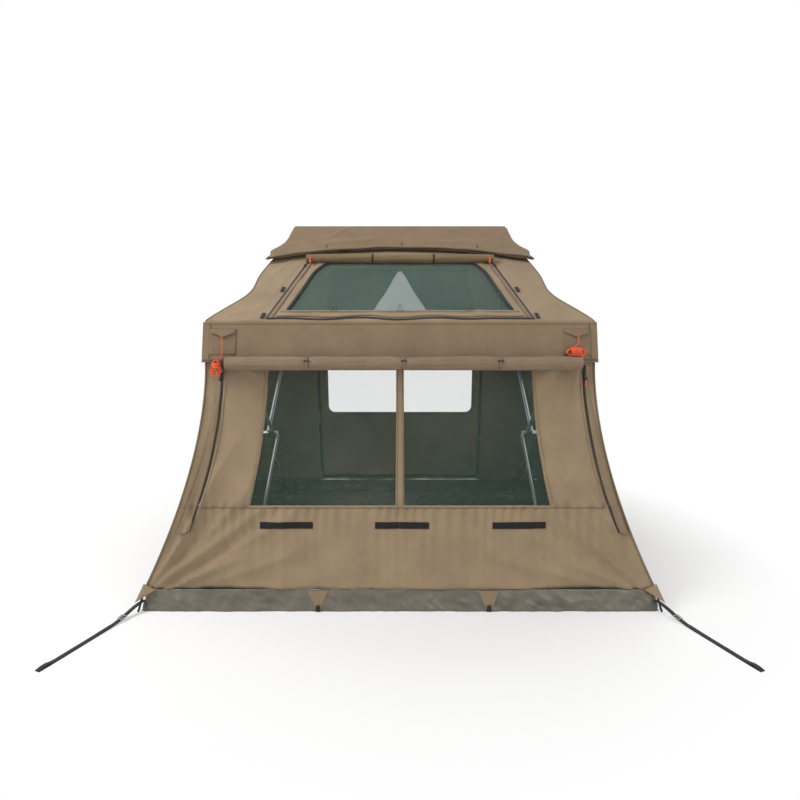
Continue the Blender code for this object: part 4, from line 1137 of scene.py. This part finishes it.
def roll_mesh(low, high, profile, creases, seed):
    """A rolled-up cover with filled ends, the lap of its last turn and creases along it."""
    centre = (low + high) / 2
    radius = (high.z - low.z) / 2
    along = spread(low.x, high.x, 150)
    turns = spread(0, 2 * math.pi, 40)

    def place(u, v):
        x, angle = along[round((u + 1) / 2 * 150)], turns[round((v + 1) / 2 * 40)]
        twist = angle + 1.2 * x
        crease = creases * ripple(x * 7, math.cos(angle) * 1.3, math.sin(angle) * 1.3, seed)
        crease += 1.5 * creases * (ridged(x * 2.5, math.cos(twist) * 2.2, math.sin(twist) * 2.2, seed) - 0.7)
        lap = 0.10 * (angle / (2 * math.pi))
        size = radius * min(1.0, profile((x - low.x) / (high.x - low.x)) * (0.90 + lap) + crease)
        return Vector((x, centre.y + size * math.cos(angle), centre.z + size * math.sin(angle)))

    bm = grid(150, 40, place)
    bmesh.ops.holes_fill(bm, edges=[edge for edge in bm.edges if edge.is_boundary], sides=0)
    return bm, centre, radius


def ring_band(x, width, centre, radius):
    """A flat tie round a roll."""
    bm = bmesh.new()
    bmesh.ops.create_cone(bm, cap_ends=False, segments=36, radius1=radius, radius2=radius, depth=width)
    for vert in bm.verts:
        wobble = 1 + 0.02 * math.sin(3 * math.atan2(vert.co.y, vert.co.x))
        vert.co = Vector((x + vert.co.z, centre.y + vert.co.x * wobble, centre.z + vert.co.y * wobble))
    return bm


def toggle(name, centre, length, radius, finish, across=False, body="roof", squash=None):
    """A small turned toggle with a waist, where its loop sits. It hangs upright or lies across."""
    bm = bmesh.new()
    bmesh.ops.create_cone(bm, cap_ends=True, segments=16, radius1=radius, radius2=radius, depth=length)
    cuts = [edge for edge in bm.edges if abs(edge.verts[0].co.z - edge.verts[1].co.z) > length / 2]
    bmesh.ops.subdivide_edges(bm, edges=cuts, cuts=5)
    for vert in bm.verts:
        waist = 1 - 0.35 * bell(vert.co.z, 0.0, 0.18 * length)
        x, y, z = vert.co.x * waist, vert.co.y * waist, vert.co.z
        vert.co = Vector(centre) + Vector((z, x, y) if across else (x, y, z))
    piece(name, bm, finish, body, squash=squash, facing=False)


class TENT_OT_rolls(bpy.types.Operator):
    """Make the rolled window and skylight covers with their ties"""

    bl_idname = "tent.rolls"
    bl_label = "Rolled covers"

    def execute(self, context):
        def window_profile(share):
            pinch = sum(0.16 * bell(share, at, 0.018) for at in TIE_SHARES)
            return 1.0 - pinch - 0.16 * (abs(2 * share - 1) ** 14)

        bm, centre, radius = roll_mesh(ROLL_LOW, ROLL_HIGH, window_profile, 0.075, 11.0)
        piece("window_roll_cloth", bm, "cover", "roof", ["window_cover_roll"], facing=False)
        for i, share in enumerate(TIE_SHARES):
            x = ROLL_LOW.x + share * (ROLL_HIGH.x - ROLL_LOW.x)
            piece(f"window_roll_tie_{i}", ring_band(x, 0.011, centre, 0.90 * radius), "cover_patch", "roof",
                  (), TAPE, facing=False)
            toggle(f"window_roll_toggle_{i}", (x, ROLL_LOW.y + 0.004, centre.z + 0.4 * radius), 0.026, 0.0042,
                   "nylon", True)
        bm, centre, radius = roll_mesh(SKY_ROLL_LOW, SKY_ROLL_HIGH, lambda s: 1 - 0.15 * abs(2 * s - 1) ** 10,
                                       0.06, 12.0)
        piece("skylight_roll_cloth", bm, "fly", "roof", ["skylight_cover_roll"], facing=False)
        for i, x in enumerate((-0.155, 0.19)):
            piece(f"skylight_roll_tie_{i}", ring_band(x, 0.010, centre, 0.98 * radius), "tape", "roof", (),
                  0.0012, facing=False)
        for name, side in SIDES:
            toggle(f"{name}_skylight_toggle", (side * 0.505, SKY_ROLL_LOW.y - 0.001, centre.z - 0.4 * radius),
                   0.030, 0.0055, "rope")
        return {"FINISHED"}


def ribbon(name, surface, line, half, finish, body, lift, wave=None, squash=None, cells=60, thickness=TAPE):
    """A narrow strip on a surface along a line of (u, v), set out from it and as creased as it is."""
    def place(across, up):
        t = (up + 1) / 2
        u, v = line(t)
        u2, v2 = line(min(1.0, t + 0.01)) if t < 0.99 else line(t)
        u0, v0 = line(max(0.0, t - 0.01))
        here = surface(u, v)
        along = (surface(u2, v2) - surface(u0, v0)).normalized()
        normal = outward(surface, u, v)
        height = lift + (wave(here, u, v) if wave else 0.0)
        return here + along.cross(normal) * across * half + normal * height

    return piece(name, grid(3, cells, place), finish, body, (), thickness, squash)


def between(a, b):
    return lambda t: (a[0] + (b[0] - a[0]) * t, a[1] + (b[1] - a[1]) * t)


class TENT_OT_trim(bpy.types.Operator):
    """Make the seams, zips, hook tapes, storm flaps and patches"""

    bl_idname = "tent.trim"
    bl_label = "Trim"

    def execute(self, context):
        self.front_wall(context.scene.tent_sizes.seam / 2)
        self.band_trim()
        self.skylight()
        self.fly_hem()
        self.corners()
        return {"FINISHED"}

    def strip(self, name, a, b, half, finish, lift, wave=creased, cells=60, thickness=TAPE, slot=None):
        """A straight ribbon on the front wall."""
        ribbon(name, front_wall_at, between(a, b), half, finish, "base", lift, wave, WALL_SQUASH, cells,
               thickness)

    def front_wall(self, seam):
        for name, (a, b) in HOOK_TAPES.items():
            bm = cloth(front_wall_xz, spread(a, b, 40), spread(*HOOK_TAPE_Z, 5), 0.0036,
                       lambda p, x, z: wall_wave(p, calm(x / half_width(z))))
            piece(f"{name}_hook_tape", bm, "hook", "base", (), 0.0022, WALL_SQUASH)
        low, middle = WINDOW_SILL - 0.012, STRIP_SHARE * 0.7
        self.strip("window_sill_seam", (-0.985, low), (0.985, low), seam * 0.6, "hem", 0.0014, creased,
                   220, HEM)
        for name, side in SIDES:
            rim = side * (WINDOW_SHARE + 0.012)
            self.strip(f"{name}_window_edge", (rim, WINDOW_SILL - 0.01), (rim, WINDOW_HEAD + 0.01), seam,
                       "patch", 0.0016)
            self.flap(name, side)
            self.strip(f"{name}_strip_edge", (side * middle, WINDOW_SILL), (side * middle, WINDOW_HEAD),
                       0.0025, "hem", 0.0016, creased, 50, HEM)

    def flap(self, name, side):
        """A closed zip down the wall, its storm flap folded back beside it, and the hook for the roll."""
        zip_u = side * (0.915 if side < 0 else 0.947)
        foot, head = 0.386, 1.190

        def place(across, t):
            width = min(0.017 + 0.031 * min(1.0, (1 - t) / 0.8), 0.983 - abs(zip_u))
            z = foot - 0.012 * across + (head - foot) * t
            return front_wall_at(zip_u + side * width * across, z)

        def swell(p, across, t):
            free = 0.003 + 0.013 * max(0.0, 1 - t * 1.25)
            bend = 0.0025 * math.sin(math.pi * across) * (1 + ripple(p.z * 9, 0, 0, 4.0 + side))
            return 0.0035 + free * across ** 1.4 + bend + wall_wave(p, calm(p.x / half_width(p.z)))

        bm = cloth(place, spread(0, 1, 10), spread(0, 1, 90), 0.0, swell)
        piece(f"{name}_storm_flap", bm, "patch", "base", (), 0.0022, WALL_SQUASH)
        self.strip(f"{name}_wall_zip", (zip_u, head), (zip_u, foot), 0.0046, "tape", 0.0058, creased, 110,
                   0.0028)
        self.strip(f"{name}_zip_fold", (zip_u - side * 0.016, head), (zip_u - side * 0.014, foot), 0.0040,
                   "canvas", 0.0044, creased, 110, 0.0028)
        self.strip(f"{name}_flap_hem", (zip_u, foot - 0.004), (side * 0.966, foot - 0.010), 0.0022, "hem",
                   0.0085, None, 16, 0.002)
        for i, (high, low, shift, finish) in enumerate(((1.222, 1.150, 0.0, "webbing"),
                                                        (1.176, 1.146, 0.010, "nylon"))):
            self.strip(f"{name}_roll_hook_{i}", (zip_u, high), (zip_u + shift * side, low),
                       0.0075 - 0.002 * i, finish, 0.012 + 0.003 * i, None, 14, 0.003, "webbing")
        if side > 0:
            toggle("zip_pull", front_wall_at(zip_u, 1.134) + Vector((0.002, -0.018, 0)), 0.030, 0.0040,
                   "rope", False, "base", WALL_SQUASH)

    def band_trim(self):
        for face, _ in ENDS:
            for part, z, half, finish in (("hem", BAND_HEM + 0.012, 0.0045, "cover_hem"),
                                          ("top", EAVE_HEIGHT - 0.006, 0.005, "hem")):
                ribbon(f"{face}_band_{part}", band_at(face), between((-0.995, z), (0.995, z)), half, finish,
                       "roof", 0.0012, band_wave, None, 200, HEM)
        front = band_at("front")
        low, high = EAVE_HEIGHT - 0.075, EAVE_HEIGHT - 0.034
        for name, side in SIDES:
            for face, _ in ENDS:
                seam = between((side * 0.962, BAND_HEM + 0.003), (side * 0.962, EAVE_HEIGHT - 0.003))
                ribbon(f"{name}_{face}_band_seam", band_at(face), seam, 0.0035, "cover_hem", "roof", 0.0012,
                       band_wave, None, 24, HEM)
            centre = side * 0.895
            bm = cloth(front, spread(centre - 0.068, centre + 0.068, 14),
                       spread(EAVE_HEIGHT - 0.160, EAVE_HEIGHT - 0.035, 14), 0.0022, band_wave)
            piece(f"{name}_rope_patch", bm, "cover_patch", "roof", (), 0.0015)

            def flap(u, v, middle=centre):
                t, up = middle + u * 0.062, (v + 1) / 2
                drop = low + 0.025 * abs(u)
                z = drop + (high - drop) * up
                return front(t, z) + outward(front, t, z) * (0.004 + 0.010 * (1 - up) * (1 - 0.4 * u ** 2))

            piece(f"{name}_rope_flap", grid(12, 8, flap), "cover_patch", "roof", (), 0.0018)

    def skylight(self):
        front = slope_by_x(-1)
        high, low = SKYLIGHT_HIGH, SKYLIGHT_LOW

        def edge_x(s):
            return SKYLIGHT_SHARE * frame_hip_x(s)

        def wavy(t):
            swing = 0.010 * math.sin(7 * math.pi * t + 0.6) + 0.004 * math.sin(19 * t)
            return (ZIP_FOOT_X * (2 * t - 1), ZIP_FOOT + swing * math.sin(math.pi * t))

        def roofed(p, x, s):
            return max(0.0, roof_wave(p, 1.0))

        def on_roof(name, line, half, finish, lift, wave, cells, thickness=TAPE):
            ribbon(name, front, line, half, finish, "roof", lift, wave, None, cells, thickness)

        on_roof("skylight_zip_foot", wavy, 0.0050, "tape", 0.0055, roofed, 200)
        on_roof("skylight_zip_lip", lambda t: (0.93 * wavy(t)[0], wavy(t)[1] + 0.022), 0.0060, "cover_patch",
                0.0040, roofed, 200)
        start_s, end_x, top_s = high - 0.20, -edge_x(high) + 0.135, high + 0.004

        def bend(t):
            """The round corner, from the side of the opening to its top."""
            a, c = (-edge_x(start_s), start_s), (-edge_x(high), top_s)
            x = (1 - t) ** 2 * a[0] + 2 * t * (1 - t) * c[0] + t * t * end_x
            return (x, (1 - t) ** 2 * a[1] + 2 * t * (1 - t) * c[1] + t * t * top_s)

        def rim(t):
            """Round the skylight's opening: up one side, round its top corners and down the other side."""
            if t > 0.5:
                x, s = rim(1 - t)
                return (-x, s)
            if t < 0.2:
                s = low + (start_s - low) * t / 0.2
                return (-edge_x(s), s)
            if t < 0.36:
                return bend((t - 0.2) / 0.16)
            return (end_x * (1 - (t - 0.36) / 0.14), top_s)

        on_roof("skylight_rim", rim, 0.0065, "tape", 0.0062, None, 300)
        for name, side in SIDES:
            def corner(t, r, k=side):
                x, s = bend(t)
                edge = (-edge_x(s) - 0.010, s) if t < 0.5 else (x, high + 0.014)
                share = 1 - abs(2 * t - 1)
                tip = (-edge_x(high) - 0.010, high + 0.014)
                goal = [edge[i] + (tip[i] - edge[i]) * share for i in (0, 1)]
                return front(-k * (x + (goal[0] - x) * r), s + (goal[1] - s) * r)

            bm = cloth(corner, spread(0, 1, 30), spread(0, 1, 8), 0.0046)
            piece(f"{name}_skylight_gusset", bm, "canvas", "roof", (), CLOTH)
            foot, top = zip_x(ZIP_FOOT), zip_x(ZIP_TOP)
            track = between((side * foot, ZIP_FOOT), (side * top, ZIP_TOP))
            on_roof(f"{name}_skylight_zip_tape", track, 0.0052, "tape", 0.0003, None, 70, 0.0004)
            lip = between((side * (foot - 0.024), ZIP_FOOT + 0.01), (side * (top - 0.024), ZIP_TOP))
            on_roof(f"{name}_skylight_lip", lip, 0.0065, "cover_patch", 0.0042, roofed, 70)
            for i, at in enumerate((0.285, 0.048)):
                x = zip_x(at) + 0.022
                tab = between((side * x, at + 0.022), (side * (x + 0.004), at - 0.022))
                on_roof(f"{name}_skylight_tab_{i}", tab, 0.0085, "webbing", 0.007, roofed, 8, 0.0025)
        normal = outward(front, 0.0, low)
        for i, x in enumerate((-0.335, 0.0, 0.345)):
            hook = smooth_route([front(x + across, low + up) for across, up in (
                (-0.012, -0.015), (-0.006, 0.02), (0.0, 0.045), (0.008, 0.02), (0.012, -0.015))], 4)
            tube(f"skylight_loop_{i}", [point + normal * 0.006 for point in hook], 0.0016, "cover_hem", (), 2)
        seam = between((-0.60, 0.090), (0.60, 0.090))
        on_roof("skylight_foot_seam", seam, 0.007, "patch", 0.0036, None, 120)

    def fly_hem(self):
        """The fly's turned-up hem with its dark binding, on both slopes and both ends, and its toggles."""
        reach = 0.115

        def puff(p, a, up):
            return 0.004 * (1 + ripple(p.x * 9, p.y * 9, 0, 4.0)) * calm(a, 0.03)

        def bulge(p, a, up):
            return puff(p, a, up) + 0.009 * math.sin(math.pi * min(1.0, up / reach)) * calm(a, 0.05)

        def binding(t):
            return (2 * t - 1, 0.004 + 0.010 * math.sin(11 * t) ** 2)

        for name, surface, cells in (("front", fly_slope_at(-1), 140), ("back", fly_slope_at(1), 140),
                                     ("left", fly_end_at(-1), 70), ("right", fly_end_at(1), 70)):
            bm = cloth(surface, spread(-1, 1, cells), spread(0.0, reach, 7), 0.003, bulge)
            piece(f"fly_{name}_hem", bm, "fly", "roof", (), CLOTH)
            ribbon(f"fly_{name}_binding", surface, binding, 0.0045, "tape", "roof", 0.0085, puff, None, cells)
        up, front = 0.16, fly_slope_at(-1)
        for i, x in enumerate((-0.42, 0.01, 0.44)):
            spot = front(x / fly_edge(fly_share(x, up)), up)
            toggle(f"fly_toggle_{i}", spot + outward(front, x, up) * 0.009, 0.022, 0.0034, "nylon")

    def corners(self):
        """Piping where two sheets of cloth are joined."""
        for side_name, side in SIDES:
            for end_name, end in ENDS:
                points = [Vector((side * half_width(z), end * half_depth(z), z))
                          for z in spread(WALL_FOOT + 0.002, WALL_TOP, 40)]
                self.piping(f"{end_name}_{side_name}_corner_seam", points, 0.0050, "base", WALL_SQUASH)
                points = [Vector((side * hip_x(s), end * roof_y(s), roof_z(s)))
                          for s in spread(0.01, 0.985, 40)]
                self.piping(f"{end_name}_{side_name}_hip_seam", points, 0.0034, "roof", None)

    def piping(self, name, points, radius, body, squash):
        guide = round_curve(f"{name}_guide", points, radius, 2)
        bpy.context.view_layer.update()
        shape = bpy.data.meshes.new_from_object(guide.evaluated_get(bpy.context.evaluated_depsgraph_get()))
        bm = bmesh.new()
        bm.from_mesh(shape)
        bmesh.ops.remove_doubles(bm, verts=bm.verts, dist=WELD)
        bpy.data.meshes.remove(shape)
        bpy.data.objects.remove(guide)
        piece(name, bm, "hem", body, (), 0.0, squash, facing=False)


class TENT_OT_fittings(bpy.types.Operator):
    """Give the frame, hubs, feet and sliders their finishes"""

    bl_idname = "tent.fittings"
    bl_label = "Frame and fittings"

    def execute(self, context):
        slots = {entry["node"]: entry["material_slot"] for entry in frame["record"]["subparts"]}
        for name, node in frame["nodes"].items():
            finish = FINISHES.get(slots.get(name))
            if finish and not node.hide_render:
                node.data.materials.clear()
                node.data.materials.append(finish)
        return {"FINISHED"}


class TENT_OT_stage(bpy.types.Operator):
    """Set up the floor, the light and the camera"""

    bl_idname = "tent.stage"
    bl_label = "Stage"

    def execute(self, context):
        scene = context.scene
        self.camera(scene)
        self.floor()
        self.world(scene)
        self.lamp("key_light", (-4.2, -2.6, 5.2), 2.6, 270)
        self.lamp("fill_light", (3.6, -4.6, 3.0), 4.0, 90)
        self.lamp("back_light", (1.5, 4.6, 4.4), 4.0, 110)
        scene.view_settings.view_transform = "Standard"
        return {"FINISHED"}

    def camera(self, scene):
        data = bpy.data.cameras.new("camera")
        data.lens = CAMERA_LENS
        data.sensor_width = 36.0
        camera = bpy.data.objects.new("camera", data)
        camera.location = CAMERA_PLACE
        camera.rotation_euler = (math.pi / 2 - CAMERA_DROP, 0, 0)
        scene.collection.objects.link(camera)
        scene.camera = camera

    def floor(self):
        bm = bmesh.new()
        bmesh.ops.create_grid(bm, x_segments=1, y_segments=1, size=40.0)
        mesh = bpy.data.meshes.new("floor")
        bm.to_mesh(mesh)
        bm.free()
        made, tree, shader, out, where = new_material("studio_floor")
        feed(tree, shader, {"Base Color": (0.95, 0.95, 0.95, 1), "Roughness": 0.9, "Specular IOR Level": 0.0})
        away = add_node(tree, "ShaderNodeVectorMath", {"operation": "LENGTH"})
        tree.links.new(where[0][0].outputs["Object"], away.inputs[0])
        far = add_node(tree, "ShaderNodeMapRange", {"From Min": 1.35, "From Max": 2.3},
                       [(away, "Value", "Value")])
        white = add_node(tree, "ShaderNodeEmission", {"Strength": 1.0})
        share = add_node(tree, "ShaderNodeMath", {"operation": "MULTIPLY"},
                         [(self.seen(tree), 0, 0), (far, 0, 1)])
        mix = add_node(tree, "ShaderNodeMixShader", links=[(share, 0, 0), (shader, 0, 1), (white, 0, 2)])
        tree.links.new(mix.outputs[0], out.inputs["Surface"])
        mesh.materials.append(made)
        obj = bpy.data.objects.new("floor", mesh)
        obj.location.z = -0.0005
        bpy.context.scene.collection.objects.link(obj)

    def seen(self, tree):
        """1 for a ray that the camera sees directly, in a reflection or through something clear."""
        path = add_node(tree, "ShaderNodeLightPath")
        seen = add_node(tree, "ShaderNodeMath", {"operation": "MAXIMUM"},
                        [(path, "Is Camera Ray", 0), (path, "Is Glossy Ray", 1)])
        return add_node(tree, "ShaderNodeMath", {"operation": "MAXIMUM"},
                        [(seen, 0, 0), (path, "Is Transmission Ray", 1)])

    def world(self, scene):
        world = bpy.data.worlds.new("studio")
        world.use_nodes = True
        scene.world = world
        tree = world.node_tree
        tree.nodes.clear()
        light = add_node(tree, "ShaderNodeBackground", {"Color": (1, 1, 1, 1), "Strength": 0.46})
        white = add_node(tree, "ShaderNodeBackground", {"Color": (1, 1, 1, 1), "Strength": 1.0})
        mix = add_node(tree, "ShaderNodeMixShader",
                       links=[(self.seen(tree), 0, 0), (light, 0, 1), (white, 0, 2)])
        add_node(tree, "ShaderNodeOutputWorld", links=[(mix, 0, "Surface")])

    def lamp(self, name, place, size, power):
        data = bpy.data.lights.new(name, "AREA")
        data.shape = "SQUARE"
        data.size = size
        data.energy = power
        lamp = bpy.data.objects.new(name, data)
        lamp.location = place
        lamp.rotation_euler = (Vector((0, 0, 0.9)) - Vector(place)).to_track_quat("-Z", "Y").to_euler()
        bpy.context.scene.collection.objects.link(lamp)


class TENT_PT_panel(bpy.types.Panel):
    """Shows the tent's colours and sizes, and a button for each step that makes the tent."""

    bl_idname = "TENT_PT_panel"
    bl_label = "Quick-Pitch Tent"
    bl_space_type = "VIEW_3D"
    bl_region_type = "UI"
    bl_category = "Tent"

    def draw(self, context):
        for group in (context.scene.tent_colours, context.scene.tent_sizes):
            for name in group.__annotations__:
                self.layout.prop(group, name)
        for operator in OPERATORS:
            self.layout.operator(operator.bl_idname)


OPERATORS = (TENT_OT_finishes, TENT_OT_cords, TENT_OT_walls, TENT_OT_roof, TENT_OT_tub, TENT_OT_rolls,
             TENT_OT_trim, TENT_OT_fittings, TENT_OT_stage)
CLASSES = (TentColours, TentSizes, *OPERATORS, TENT_PT_panel)


def register():
    for item in CLASSES:
        bpy.utils.register_class(item)
    bpy.types.Scene.tent_colours = PointerProperty(type=TentColours)
    bpy.types.Scene.tent_sizes = PointerProperty(type=TentSizes)


def unregister():
    del bpy.types.Scene.tent_sizes
    del bpy.types.Scene.tent_colours
    for item in reversed(CLASSES):
        bpy.utils.unregister_class(item)


def main():
    register()
    for operator in OPERATORS:
        group, name = operator.bl_idname.split(".")
        getattr(getattr(bpy.ops, group), name)()


if __name__ == "__main__":
    main()
